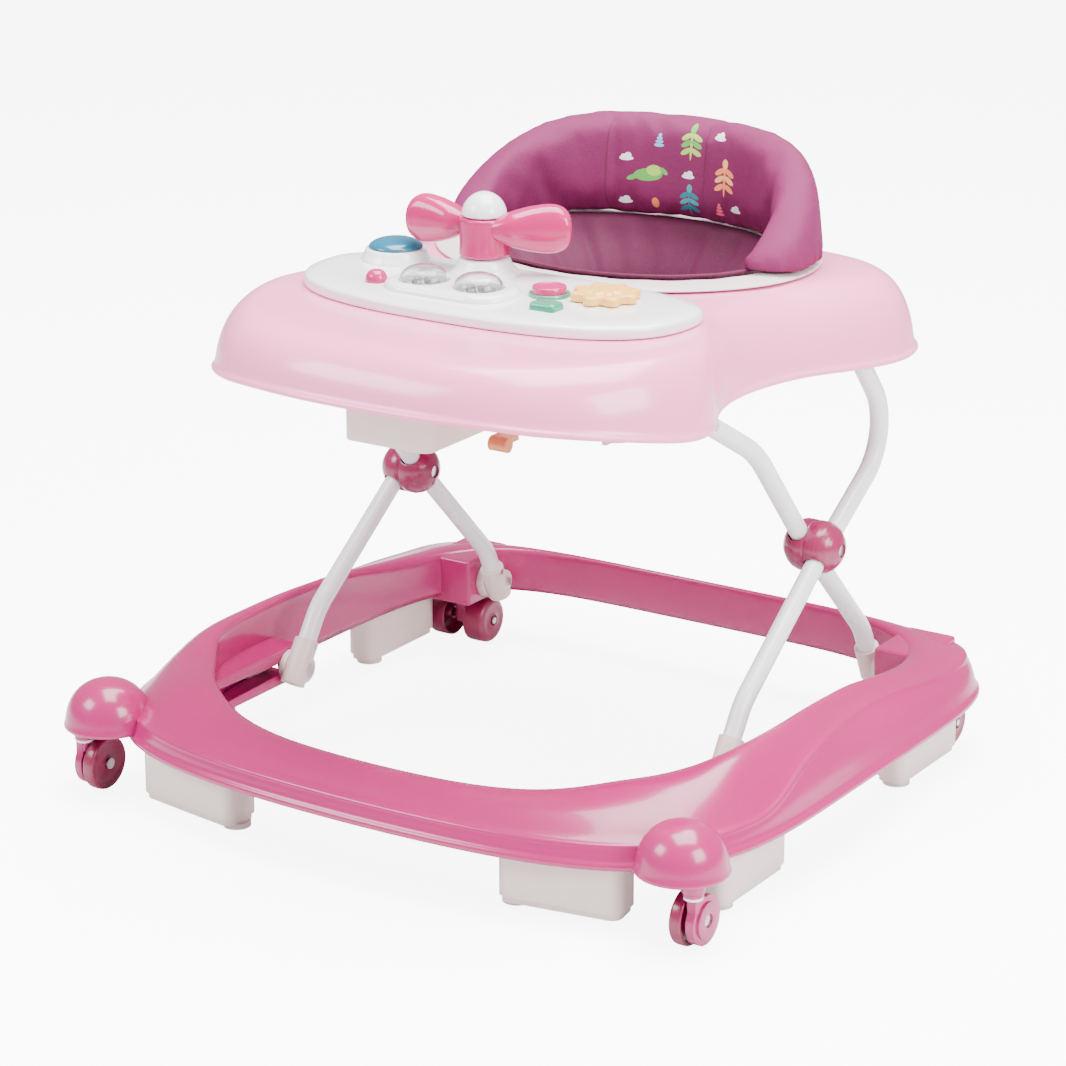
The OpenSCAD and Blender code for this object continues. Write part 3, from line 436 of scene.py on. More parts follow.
BASE_W, BASE_FRONT, BASE_REAR, RING_IN, LIP, WALL = 305.0, 42.0, 533.0, 254.0, 52.0, 3.0
MID_Y = (BASE_REAR - BASE_FRONT) / 2
TOP = [(-42, 88), (-26, 93), (-10, 100), (0, 102), (32, 103.5), (53, 105.5), (85, 110), (133, 113.5),
       (235, 113.5), (275, 112), (321, 110), (373, 103), (423, 97), (475, 93), (533, 92)]
RIDGE = [(-42, 71), (60, 72), (110, 73), (149, 85), (175, 92), (221, 98), (260, 98.5), (300, 98), (346, 96),
         (405, 90), (461, 84), (533, 83)]
RIDGE_IN = [(-42, 0), (124, 1), (149, 5), (175, 9), (221, 13), (258, 17), (296, 22), (346, 22), (405, 17),
            (461, 12), (510, 3), (533, 1)]


def super_r(c, s, a, b, n):
    return 1 / (abs(c / a) ** n + abs(s / b) ** n) ** (1 / n)


def ring_out(c, s):
    b = (BASE_REAR + BASE_FRONT) / 2
    r = super_r(c, s, BASE_W, b, 4.5 if s < 0 else 7)
    bow = 34 * (r * c / BASE_W) ** 2 * -s if s < 0 else 0
    return Vector((r * c, r * s + MID_Y + bow))


def ring_in(c, s):
    r = super_r(c, s, RING_IN, MID_Y - 4 if s < 0 else 264.5, 3.4 if s < 0 else 5)
    return Vector((r * c, r * s + MID_Y))


def soft(y, table):
    """The table's value averaged over a short stretch, so its corners don't show as creases."""
    return sum(lookup(y + k, table) for k in (-12, -6, 0, 6, 12)) / 5


def crown_in(c, s):
    p = ring_in(c, s)
    if s >= 0:
        return p
    fade = 1 if p.y < 70 else max(0, 1 - (p.y - 70) / 60)
    return p + Vector((0, 30 * (p.x / RING_IN) ** 2 * fade))


def ring_section(t):
    c, s = math.cos(t), math.sin(t)
    o, i = ring_out(c, s), crown_in(c, s)
    w = (i - o).length
    u = (i - o) / w
    v = ring_in(c, s) - i
    zr, zt, e = soft(o.y, RIDGE), soft(o.y, TOP), soft(o.y, RIDGE_IN)
    h, r, q = zt - zr, 9 + e, e / 25
    d = w - r
    mid = LIP + 8 + 0.6 * (zr - LIP - 8)
    prof = [
        (WALL, LIP, 0), (0.5, LIP + 0.5, 0), (-1, LIP + 2.5, 0), (-1, LIP + 5, 0), (0.5, LIP + 7, 0),
        (2.5, LIP + 8, 0), (3.5 + 0.3 * e, mid, 0), (4.5 + e, zr - 3, 0), (4.5 + e, zr - 0.5, 0),
        (6 + e, zr + 1.2, 0), (r, zr + 1.4, 0), (r + 0.18 * d, zr + 1.4 + (0.42 * h - 1.4) * (1 - 0.7 * q),
                                                 0),
        (r + 0.38 * d, zr + 0.72 * h * (1 - 0.4 * q), 0), (r + 0.58 * d, zr + 0.92 * h * (1 - 0.12 * q), 0),
        (r + 0.76 * d, zt, 0), (r + 0.9 * d, zt - 0.5, 0), (w - 0.6, zt - 3.5, 0), (w, zt - 8, 0), (w, 50, 1),
        (w - WALL, 50, 1), (w - WALL, zt - 9.5, 0), (r + 0.76 * d - 1, zt - WALL - 0.5, 0),
        (r + 0.4 * d, zr + 0.7 * h * (1 - 0.4 * q) - WALL - 0.5, 0), (r, zr - 2, 0),
        (4.5 + WALL + e, zr - 5, 0),
        (3.5 + WALL + 0.3 * e, mid - 1.5, 0), (2.5 + WALL, LIP + 7, 0)]
    none = Vector((0, 0))
    plan = [(o + u * a + (v if low else none), z) for a, z, low in prof]
    return [at(p.x, p.y, z) for p, z in plan]


def warp(u):
    return u + 0.6 * math.sin(4 * u) / 4


stations = 144
ring = loop_skin("base_ring", [ring_section(warp(2 * math.pi * k / stations)) for k in range(stations)],
                 M["base"], "base", 1)
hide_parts("base_frame")

DOME = (277.0, 12.0)
dome_profile = [(33, 58), (37, 58), (37.6, 60.5), (36, 63), (35.2, 71), (32.6, 79), (28, 86.5), (21.5, 92.5),
                (13, 96.6), (5, 98), (0, 98.1), (0, 95.2), (12, 93.5), (20, 89.5), (26, 84), (30, 77),
                (32.4, 70)]
for side, name in ((1, "right"), (-1, "left")):
    lathe("base_hood_" + name, dome_profile[:11] + [(0, 95)] + dome_profile[12:] + [(33, 58)],
          (side * DOME[0], DOME[1], 0), M["base"], "base", segs=48, sub=1)

# ---------- base details ----------

for side, name in ((1, "right"), (-1, "left")):
    lathe("stem_boss_" + name, [(5.2, 50), (9, 50), (9.2, 51), (9.2, 78), (5.2, 79)], (side * 294, 0, 0),
          M["base"], "base", segs=40, sub=0, sharp=40)
    xs = sorted((side * 209.0, side * 255.0))
    rounded("corner_box_" + name, (xs[0], 446, 46), (xs[1], 512, 90), 3.2, M["base"], "base")
    xs = sorted((side * 234.0, side * 246.0))
    rounded("wheel_bracket_" + name, (xs[0], 478, 16), (xs[1], 494, 60), 2.0, M["base"], "base")
    lathe("wheel_boss_" + name, [(0, 0), (7.4, 0), (8, 0.8), (8, 11.2), (7.4, 12), (0, 12)],
          (side * 234, 486, 21.5), M["base"], "base", axis="X", segs=40, sub=0, sharp=40,
          flip=side < 0)
    # slotted plate that guides the front pins, with its ledges
    y0, y1, zc, slot_h = 88.0, 191.0, 66.0, 5.0
    outline = [(y0, a) for a in range(90, 271, 15)] + [(y1, a) for a in range(-90, 91, 15)]
    inner, outer = [], []
    for yc, a in outline:
        c, s = math.cos(math.radians(a)), math.sin(math.radians(a))
        grow = slot_h + (2.6 if yc == y0 else 0.0)
        reach = min(15 / max(abs(c), 1e-6), 15 / max(abs(s), 1e-6))
        inner.append((yc + grow * c, zc + grow * s))
        outer.append((yc + reach * c, zc + reach * s))
    verts = [at(side * x, y, z) for x in (224, 227) for ring_pts in (inner, outer) for y, z in ring_pts]
    n = len(inner)
    faces = []
    for k in range(n):
        q = (k + 1) % n
        faces += [(k, q, n + q, n + k), (2 * n + k, 3 * n + k, 3 * n + q, 2 * n + q),
                  (k, 2 * n + k, 2 * n + q, q), (n + k, n + q, 3 * n + q, 3 * n + k)]
    plate = mesh_piece("slide_plate_" + name, verts, faces, M["base"], "base")
    mod = plate.modifiers.new("edges", "BEVEL")
    mod.width, mod.segments, mod.limit_method, mod.angle_limit = 0.7 * MM, 2, "ANGLE", math.radians(50)
    xs = sorted((side * 224.2, side * 254.0))
    rounded("slide_ledge_top_" + name, (xs[0], 73, 78), (xs[1], 206, 81.5), 1.4, M["base"], "base")
    rounded("slide_ledge_low_" + name, (xs[0], 73, 50.6), (xs[1], 206, 53.6), 1.2, M["base"], "base")

# ---------- wheels ----------

caster_tread = [(3.1, 1.6), (4.4, 1.2), (5.4, 2.6), (11, 3.2), (16.5, 2.6), (18.6, 1.2), (19.8, 0.25),
                (21.4, 0.2), (22.6, 1.2), (23, 3.0), (23, 8.8), (22.5, 10.3), (21, 11), (19.8, 10.2),
                (19.2, 7), (9.2, 6.4), (8.8, 13.2), (3.1, 13.4)]
rear_tread = [(3.1, 0.6), (7, 0.6), (7.4, 14.5), (18.2, 14.5), (19.2, 1.0), (20.2, 0.1), (21.2, 0.5),
              (21.5, 2.2), (21.5, 15.5), (21, 17.6), (19.8, 19.2), (17.2, 20.6), (14.5, 20.9), (12.5, 20.2),
              (7.2, 20.4), (6.2, 21.4), (5.2, 21.2), (4.8, 19.6), (3.1, 19.4)]
for side, name in ((1, "right"), (-1, "left")):
    node = "caster_wheel_" + name
    wheel = lathe(node + "_tread", caster_tread, (side * 278.0, 12, 23), M["wheel"], node + "_body",
                  axis="X", segs=56, sub=1, flip=side < 0)
    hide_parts(node)
    for half, x0, out in (("inner", 229.5, -1), ("outer", 250.5, 1)):
        node = "rear_wheel_%s_%s" % (half, name)
        wheel = lathe(node + "_tread", rear_tread, (side * x0, 486, 21.5), M["wheel"], node + "_body",
                      axis="X", segs=56, sub=1, flip=side * out < 0)
        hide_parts(node)

# ---------- tray ----------

EDGE = [(30, -12, 378), (62, -10, 378), (92, -6, 378), (118, 1, 377), (140, 10, 375), (160, 23, 373),
        (178, 40, 370), (194, 59, 367), (207, 80, 363), (217, 102, 359), (222, 122, 357), (222, 140, 357),
        (215, 160, 357), (203, 182, 357), (194, 206, 358), (190, 235, 358), (191, 265, 358), (197, 295, 358),
        (206, 322, 358), (217, 346, 357), (228, 370, 356), (236, 394, 355), (241, 418, 354), (240, 440, 354),
        (234, 460, 354), (222, 478, 354), (204, 493, 354), (178, 504, 355), (146, 512, 356), (108, 517, 357),
        (66, 520, 358), (22, 521, 358)]
EDGE = EDGE + [(-x, y, z) for x, y, z in reversed(EDGE)]
SEAT_Y, HOLE_R, HOLE_K, TRAY_TOP = 378.0, 138.0, 0.76, 424.0


def tray_section(p):
    o = Vector(p[:2])
    zl = p[2]
    a = math.atan2(o.y - SEAT_Y, o.x)
    e = Vector((HOLE_R * math.cos(a), HOLE_R * HOLE_K * math.sin(a) + SEAT_Y))
    w = (e - o).length
    u = (e - o) / w
    g = min(1, (w - 6) / 56)
    h = TRAY_TOP - zl
    prof = [
        (WALL, 0, 0), (0.5, 0, 0), (-1.5, 0, 1.5), (-1.5, 0, 4), (0.5, 0, 5.5), (2, 0, 7), (4 * g, 0.32, 0),
        (8 * g, 0.52, 0), (14 * g, 0.7, 0), (22 * g, 0.84, 0), (33 * g, 0.94, 0), (48 * g, 1, 0),
        (w - 2, 1, 0), (w, 1, -2), (w, 1, -16), (w - 2.5, 1, -16), (w - 3.5, 1, -WALL - 1),
        (48 * g, 1, -WALL), (33 * g + 1.5, 0.94, -WALL), (22 * g + 2, 0.84, -WALL), (14 * g + 2.5, 0.7, -2.5),
        (8 * g + 3, 0.52, -2), (4 * g + WALL, 0.32, -1)]
    return [at(o.x + u.x * q, o.y + u.y * q, zl + h * k + dz) for q, k, dz in prof]


tray = loop_skin("tray_top", [tray_section(p) for p in EDGE], M["tray"], "tray", 2)
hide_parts("tray_shell")

# ---------- toy panel ----------


def panel_loop(inset, z, n=72):
    pts = []
    for k in range(n):
        t = 2 * math.pi * k / n
        c, s = math.cos(t), math.sin(t)
        r = super_r(c, s, 176 - inset, (94 if s < 0 else 55) - inset, 2.6 if s < 0 else 3.2)
        pts.append(at(r * c, r * s + 190, z))
    return pts


def stacked(name, loops, mat, body, sub=1):
    """Closed skin through stacked loops, with flat caps made of shrinking rings."""
    n = len(loops[0])
    verts = [p for lp in loops for p in lp]
    faces = [(i * n + k, i * n + (k + 1) % n, (i + 1) * n + (k + 1) % n, (i + 1) * n + k)
             for i in range(len(loops) - 1) for k in range(n)]
    for base, order in ((0, 1), ((len(loops) - 1) * n, -1)):
        ring_ids = [base + k for k in range(n)]
        mid = sum((verts[i] for i in ring_ids), Vector()) / n
        verts.append(mid)
        faces += [(ring_ids[k], ring_ids[(k + 1) % n], len(verts) - 1)[::order] for k in range(n)]
    return mesh_piece(name, verts, faces, mat, body, sub)


panel = stacked("toy_panel_top", [panel_loop(*q) for q in (
    (3, 424.2), (0.4, 424.2), (0, 425), (0, 430.5), (0.8, 432.4), (2.6, 433.6), (5.5, 434.6), (10, 435.6),
    (18, 436), (40, 436.2), (60, 436.2))], M["white"], "tray")
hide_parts("toy_panel")

# ---------- toys ----------

DOME_AT, BALL_AT, CLEAR_AT, MOUND_AT = (-119, 210), (-88, 139), ((-47, 147), (4, 148)), (-21, 148)
POST_AT, ROUND_AT, SQUARE_AT, FLOWER_AT = (-33, 212), (53, 175), (74, 138), (97.5, 187)

lathe("propeller_post", [(0, 434), (29, 434), (29, 435.4), (28.2, 437), (26.4, 438.4), (24, 440.6),
                         (22.6, 443.4),
                                (21.4, 446.4), (20.5, 449.4), (0, 449.6)], (*POST_AT, 0), M["white"], "tray",
      segs=48)
lathe("dome_seat", [(0, 435), (29, 435), (29, 436.4), (28.4, 438), (26.8, 440.4), (25.6, 443.6), (25, 445.6),
                    (24, 446), (0, 446)], (*DOME_AT, 0), M["white"], "tray", segs=48)

spin = lathe("spin_dome_cap", [(0, 446.3), (21.8, 446.3), (22.4, 446.7), (22.4, 447.3), (21.6, 448.8),
                               (19, 450.6), (14.5, 452.6), (8, 453.9), (3, 454.3), (0, 454.3)],
                               (*DOME_AT, 0), M["teal"],
             "spin_dome_body", segs=48)
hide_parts("spin_dome")
pink_ball = lathe("ball_button", [(0, 433), (8.9, 433), (9, 437), (8.8, 440), (7.4, 443.4), (4.6, 445.5),
                                  (0, 446.2)],
                  (*BALL_AT, 0), M["toy_pink"], "pink_ball_body", segs=40)
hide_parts("pink_ball")

cap = lathe("propeller_cap_top", [(0, 482.8), (17.6, 482.8), (18.4, 483.4), (18.3, 486.4), (16.9, 491.4),
                                  (13.4, 496.6), (8, 500.6), (3.4, 502), (0, 502.1)], (*POST_AT, 0),
                                  M["white"],
            "propeller_spinner", segs=48)
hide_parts("propeller_cap")
hub = lathe("propeller_hub", [(0, 450), (19.6, 450), (20.5, 450.8), (20.6, 453), (20.3, 455), (20.3, 478),
                              (20.5, 480.6), (19.6, 482.5), (0, 482.6)], (*POST_AT, 0), M["propeller"],
            "propeller_spinner", segs=48)
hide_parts("propeller")
BLADE_SHAPE = [(0, 0), (0.03, 4.5), (0.14, 9.5), (0.3, 14.5), (0.5, 18.5), (0.7, 20.6), (0.82, 20.2),
               (0.92, 17), (0.98, 10.5), (1, 0)]


def blade(name, start, turn, length):
    """A fat rounded paddle, narrow at the hub and widest near its end, thinner across than it is tall."""
    segs, steps = 28, 22
    rows = [soft_row(k / steps) for k in range(1, steps)]
    spin_m = Matrix.Rotation(math.radians(turn), 4, "Z")
    verts, faces = [], []
    for f, r in rows:
        for k in range(segs):
            t = 2 * math.pi * k / segs
            c, s = math.cos(t), math.sin(t)
            across = min(r, 13.5) * math.copysign(abs(s) ** 0.8, s)
            verts.append((f * length, across, r * math.copysign(abs(c) ** 0.9, c)))
    n = len(rows)
    faces = [(i * segs + k, i * segs + (k + 1) % segs, (i + 1) * segs + (k + 1) % segs, (i + 1) * segs + k)
             for i in range(n - 1) for k in range(segs)]
    verts += [(0.5, 0, 0), (length, 0, 0)]
    faces += [(k, (k + 1) % segs, n * segs) for k in range(segs)]
    faces += [((n - 1) * segs + k, (n - 1) * segs + (k + 1) % segs, n * segs + 1) for k in range(segs)]
    c = at(POST_AT[0] + start[0], POST_AT[1] + start[1], 474)
    return mesh_piece(name, [c + (spin_m @ Vector(v)) * MM for v in verts], faces, M["propeller"],
                      "propeller_spinner", 1)


def soft_row(k):
    f = 0.5 - 0.5 * math.cos(math.pi * k)
    return f, lookup(f, BLADE_SHAPE) * 0.98


blade("propeller_blade_right", (7.6, -11.7), 37, 71)
blade("propeller_blade_left", (-12, 0), 181, 59)

clear_profile = [(18.9, 434.4), (20.4, 434.4), (20.4, 442), (19.2, 446), (16.4, 449.6), (11.6, 452.2),
                 (6, 453.3), (0, 453.6), (0, 452.1), (5.8, 451.8), (11, 450.8), (15.3, 448.6), (17.8, 445.4),
                 (18.9, 441.8)]
for k, p in enumerate(CLEAR_AT):
    dome = lathe("clear_dome_%d" % k, clear_profile, (*p, 0), M["clear"], "tray", segs=48)
    if k == 0:
        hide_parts("clear_domes")
    lathe("bead_floor_%d" % k, [(0, 434.2), (18.6, 434.2), (18.6, 434.9), (0, 434.9)], (*p, 0), M["dark"],
          "tray", segs=40, sub=0)

MOUND_R = 28


def slab_loop(inset, z, n=14):
    """The outline of the raised mound, drawn in by inset."""
    pts = []
    for qx, qy, a0 in ((1, 1, 0), (-1, 1, 90), (-1, -1, 180), (1, -1, 270)):
        for k in range(n):
            a = math.radians(a0 + 90 * k / (n - 1))
            r = MOUND_R - inset
            pts.append(at(MOUND_AT[0] + qx * 30 + r * math.cos(a), MOUND_AT[1] + qy * 3 + r * math.sin(a), z))
    return pts


def circle_loop(p, r, z, n=48):
    turns = [2 * math.pi * k / n for k in range(n)]
    return [at(p[0] + r * math.cos(t), p[1] + r * math.sin(t), z) for t in turns]


mound_rings = [slab_loop(*q) for q in ((0, 435.6), (0.1, 437), (0.8, 439.2), (2.2, 440.9), (4.4, 441.8),
                                       (6, 442))]
verts = [p for lp in mound_rings for p in lp]
m = len(mound_rings[0])
faces = [(i * m + k, i * m + (k + 1) % m, (i + 1) * m + (k + 1) % m, (i + 1) * m + k)
         for i in range(len(mound_rings) - 1) for k in range(m)]
wells = [[circle_loop(p, r, z) for r, z in ((20.9, 442), (20.6, 441.4), (20.6, 434.2))] for p in CLEAR_AT]
loops = [mound_rings[-1]] + [w[0] for w in wells]
starts = [len(verts) - m]
for w in wells:
    starts.append(len(verts))
    verts += [p for lp in w for p in lp]
flat_ids = [s0 + k for s0, lp in zip(starts, loops) for k in range(len(lp))]
faces += [tuple(flat_ids[k] for k in tri) for tri in tessellate_polygon(loops)]
for s0 in starts[1:]:
    for i in range(2):
        top, low = s0 + i * 48, s0 + (i + 1) * 48
        faces += [(top + k, top + (k + 1) % 48, low + (k + 1) % 48, low + k) for k in range(48)]
mesh_piece("bead_mound", verts, faces, M["white"], "tray", sharp=35)

button = lathe("round_button_top", [(0, 433), (13.8, 433), (14, 434), (14, 443), (13.4, 444.2), (11.4, 444.6),
                                    (10.6, 443.6), (8.4, 443.2), (0, 443.4)], (*ROUND_AT, 0), M["toy_pink"],
               "round_button_body", segs=48)
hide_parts("round_button")


def rounded_loop(cx, cy, w, d, r, z, n=9):
    pts = []
    for qx, qy, a0 in ((1, 1, 0), (-1, 1, 90), (-1, -1, 180), (1, -1, 270)):
        for k in range(n):
            a = math.radians(a0 + 90 * k / (n - 1))
            pts.append(at(cx + qx * (w / 2 - r) + r * math.cos(a), cy + qy * (d / 2 - r) + r * math.sin(a),
                          z))
    return pts


square = stacked("square_button_top", [rounded_loop(*SQUARE_AT, w, d, r, z) for w, d, r, z in (
    (23.6, 17.6, 3, 433), (23.8, 17.8, 3, 433.6), (23.6, 17.6, 3.4, 440), (22, 16, 4, 441.6),
    (18, 12, 4, 442.1), (9, 6, 2, 442.2))], M["green"], "square_button_body")
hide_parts("square_button")
stacked("round_button_rim", [rounded_loop(*ROUND_AT, d, d, d / 2.02, z) for d, z in (
    (33, 435.8), (33.6, 436.4), (33.2, 438.6), (31.4, 439.2), (29, 439.2), (28.6, 438))], M["green"], "tray")


def petal_loop(grow, z, n=96):
    pts = []
    for k in range(n):
        t = 2 * math.pi * k / n
        r = (25.6 + 3.2 * math.cos(8 * t) - 0.3 * math.cos(16 * t)) * grow
        pts.append(at(FLOWER_AT[0] + r * math.cos(t), FLOWER_AT[1] + r * math.sin(t), z))
    return pts


flower = stacked("flower_top", [petal_loop(g, z) for g, z in (
    (0.96, 436.5), (1.0, 437.3), (1.0, 441.8), (0.97, 443.3), (0.9, 444), (0.74, 444.2), (0.6, 443.4),
    (0.56, 443.4), (0.52, 444.6), (0.45, 445.3), (0.2, 445.4))], M["yellow"], "flower_dial_body")
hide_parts("flower_dial")

# ---------- seat ----------

RIM = (HOLE_R, HOLE_R * HOLE_K)


def oval(rx, ry, t, z):
    return at(rx * math.cos(t), SEAT_Y + ry * math.sin(t), z)


def keep_mesh(obj):
    """Applies what the modifiers make of an object to its mesh."""
    deps = bpy.context.evaluated_depsgraph_get()
    mesh = bpy.data.meshes.new_from_object(obj.evaluated_get(deps))
    obj.modifiers.clear()
    old = obj.data
    obj.data = mesh
    bpy.data.meshes.remove(old)


BACK_SLOTS = 76
BACK_FROM, BACK_TO = math.radians(-19), math.radians(199)
SEAMS = (math.radians(81), math.radians(121))


def back_height(y):
    return soft(y, [(340, 446), (356, 455), (378, 473), (400, 490), (430, 510), (455, 522), (480, 529),
                    (500, 531)])


def back_section(t):
    """One section of the padded back: inner face, rolled top, outer face and foot."""
    end = max(0.0, min(1.0, min(t - BACK_FROM, BACK_TO - t) / math.radians(14)))
    bulge = math.sin(end * math.pi / 2) ** 0.6
    side = abs(math.cos(t)) ** 2
    top = back_height(SEAT_Y + 108 * math.sin(t)) - 2
    foot = 430.4
    inner = (132 - 2 * side, 94)
    thick = (20 + 16 * side) * (0.35 + 0.65 * bulge)
    lean = 8.0 * (1 - side)
    h = (top - foot)
    rows = [(0.00, 0.00), (-0.03, 0.06), (-0.06, 0.3), (-0.02, 0.6), (0.04, 0.82), (0.16, 0.94), (0.38, 1.0),
            (0.62, 1.0), (0.84, 0.94), (0.97, 0.8), (1.06, 0.55), (1.14, 0.25), (1.16, 0.06), (1.05, 0.0),
            (0.5, -0.005)]
    pts = []
    for j, (a, b) in enumerate(rows):
        off = a * thick + lean * b
        # the inner edge hangs a little over the sling's lip
        drop = 3.6 if j == 0 else 0.0
        pts.append(oval(inner[0] + off, inner[1] + off, t, foot + b * h * (0.55 + 0.45 * bulge) - drop))
    return pts


def puff(obj, pressure, cap, frames=18, voxel=0.0055):
    """Remeshes a pad and lets cloth pressure crown it, no point moving further than cap."""
    mod = obj.modifiers.new("even", "REMESH")
    mod.mode = "VOXEL"
    mod.voxel_size = voxel
    keep_mesh(obj)
    start = [v.co.copy() for v in obj.data.vertices]
    mod = obj.modifiers.new("cloth", "CLOTH")
    mod.settings.use_pressure = True
    mod.settings.uniform_pressure_force = pressure
    mod.settings.effector_weights.gravity = 0
    mod.settings.tension_stiffness = 30
    mod.settings.bending_stiffness = 1.2
    mod.point_cache.frame_start, mod.point_cache.frame_end = 1, frames
    for f in range(1, frames + 1):
        bpy.context.scene.frame_set(f)
    keep_mesh(obj)
    bpy.context.scene.frame_set(1)
    for v, s in zip(obj.data.vertices, start):
        move = v.co - s
        if move.length > cap:
            v.co = s + move * (cap / move.length)
    mod = obj.modifiers.new("settle", "SMOOTH")
    mod.factor, mod.iterations = 0.5, 5
    keep_mesh(obj)


def angle_of(p):
    q = (p.y - Y_SHIFT) / MM - SEAT_Y
    return math.atan2(q / 0.78, p.x / MM)


back_rows = [back_section(BACK_FROM + (BACK_TO - BACK_FROM) * k / BACK_SLOTS) for k in range(BACK_SLOTS + 1)]
m = len(back_rows[0])
verts = [p for r in back_rows for p in r]
faces = [(i * m + j, i * m + (j + 1) % m, (i + 1) * m + (j + 1) % m, (i + 1) * m + j)
         for i in range(BACK_SLOTS) for j in range(m)]
for base, order in ((0, -1), (BACK_SLOTS * m, 1)):
    verts.append(sum((verts[base + j] for j in range(m)), Vector()) / m)
    faces += [(base + j, base + (j + 1) % m, len(verts) - 1)[::order] for j in range(m)]
back = mesh_piece("seat_back_pad", verts, faces, M["plum_printed"], "tray")
puff(back, 4.0, 0.007)
for v in back.data.vertices:
    t = angle_of(v.co)
    pinch = sum(math.exp(-((t - s) / 0.022) ** 2) for s in SEAMS)
    centre = at(0, SEAT_Y, v.co.z / MM)
    out = Vector((v.co.x, v.co.y - centre.y, 0))
    out.normalize()
    inside = 1 if (v.co - centre).length < 0.142 else 0.4
    v.co += out * 0.0028 * pinch * inside
    z = v.co.z / MM
    ruck = math.sin(t * 46 + 2.2 * math.sin(t * 5)) * max(0, 1 - (z - 430) / 24) ** 1.5
    v.co += out * 0.0022 * ruck
back.data.shade_smooth()
mod = back.modifiers.new("smooth", "SUBSURF")
mod.levels = mod.render_levels = 1
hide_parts("seat_back")

# pale band round the opening
def trim_section(t):
    k = 0.5 + 0.5 * math.sin(t * 23 + 1.5 * math.sin(3 * t))
    rows = [(-4, 426.0), (4, 428.2 + k), (18, 428.4 + 0.8 * k), (31, 427.6), (33.5, 426.2), (32.5, 424.9),
            (18, 424.7), (-3, 424.8)]
    return [oval(RIM[0] + a, RIM[1] + a, t, z) for a, z in rows]


trim = loop_skin("seat_trim_band", [trim_section(2 * math.pi * k / 180) for k in range(180)], M["trim"],
                 "tray", 1)
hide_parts("seat_trim")

# seat sling: one fabric tub hung from the opening, all in the darker plum that paints the seat's shade, with
# two leg holes; the pale trim is added as a second slot that no face uses

LEG = [(s * 48.0, 300.0, 318.0) for s in (1, -1)]


def sling_section(t):
    ruck = 1.3 * math.sin(t * 19 + 1.4 * math.sin(3 * t)) + 0.9 * math.sin(t * 31 + 2 * math.sin(5 * t))
    rows = [(136.5, 0.76, 430.4, 0.1), (133, 0.755, 430.2, 0.3), (130, 0.75, 427, 0.5), (127, 0.76, 421, 0.8),
            (121, 0.79, 414, 1.2), (112, 0.83, 406, 1.3), (102, 0.88, 397, 1.2), (94, 0.92, 386, 1),
            (88, 0.93, 370, 1), (84, 0.93, 350, 1), (77, 0.93, 328, 0.9), (66, 0.93, 307, 0.7),
            (48, 0.93, 293, 0.5), (28, 0.93, 287, 0.3),
            (10, 0.93, 285.5, 0.1)]
    pts = []
    for r, q, z, k in rows:
        y = 378 - 8 * min(1, max(0, (430 - z) / 44))
        pts.append(at((r + ruck * k) * math.cos(t), y + (q * r + ruck * k) * math.sin(t), z))
    return pts


n_t = 128
sections = [sling_section(2 * math.pi * k / n_t) for k in range(n_t)]
m = len(sections[0])
verts = [p for s in sections for p in s] + [at(0, 370, 285.3)]
faces = [(i * m + j, ((i + 1) % n_t) * m + j, ((i + 1) % n_t) * m + j + 1, i * m + j + 1)
         for i in range(n_t) for j in range(m - 1)]
faces += [(i * m + m - 1, ((i + 1) % n_t) * m + m - 1, n_t * m) for i in range(n_t)]
# the sling takes the darker plum, which is painted shade of the seat's hollow
sling = mesh_piece("seat_sling_cloth", verts, faces, M["plum_in_shaded"], "tray", 1)
keep_mesh(sling)
bm = bmesh.new()
bm.from_mesh(sling.data)
holes = []
for x, y, z in LEG:
    c = at(x, y, z)
    axis = Vector((math.copysign(0.16, x), -0.93, 0.28)).normalized()
    holes.append((c, axis))


def in_leg(p):
    for c, axis in holes:
        d = p - c
        along = d.dot(axis)
        if along > -0.02 and (d - axis * along).length < 0.036:
            return True
    return False


bmesh.ops.delete(bm, geom=[f for f in bm.faces if in_leg(f.calc_center_median())], context="FACES")
loose = [v for v in bm.verts if not v.link_faces]
bmesh.ops.delete(bm, geom=loose, context="VERTS")
for v in bm.verts:
    if not v.is_boundary or v.co.z > at(0, 0, 410).z:
        continue
    for c, axis in holes:
        d = v.co - c
        along = d.dot(axis)
        if along > -0.02:
            flat = d - axis * along
            if flat.length < 0.045:
                v.co = c + axis * along + flat.normalized() * 0.0365
cut_area = sum(f.calc_area() for f in bm.faces)
edges = []
for e in bm.edges:
    if e.is_boundary and e.verts[0].co.z < at(0, 0, 410).z:
        edges.append((e.verts[0].co.copy(), e.verts[1].co.copy()))
bm.to_mesh(sling.data)
bm.free()
sling.data.shade_smooth()
sling.data.materials.append(M["trim"])
mod = sling.modifiers.new("thickness", "SOLIDIFY")
mod.thickness = 0.0022
mod.offset = 0.0
mod.material_offset = 0
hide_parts("seat_sling")


def tube_along(name, pts, r, mat, closed=True, segs=8):
    """A thin round roll of fabric along a line of frame points."""
    n = len(pts)
    verts, faces = [], []
    for i in range(n):
        a, b = pts[i - 1], pts[(i + 1) % n]
        d = (b - a).normalized()
        u = d.orthogonal() if i == 0 else (u - d * u.dot(d))
        u.normalize()
        w = d.cross(u)
        for k in range(segs):
            t = 2 * math.pi * k / segs
            verts.append(pts[i] + (u * math.cos(t) + w * math.sin(t)) * r)
    for i in range(n if closed else n - 1):
        j = (i + 1) % n
        shift = 0
        if j == 0:
            best = [(verts[i * segs] - verts[q]).length for q in range(segs)]
            shift = best.index(min(best))
        faces += [(i * segs + k, i * segs + (k + 1) % segs, j * segs + (k + 1 + shift) % segs,
                   j * segs + (k + shift) % segs)
                  for k in range(segs)]
    return mesh_piece(name, verts, faces, mat, "tray")


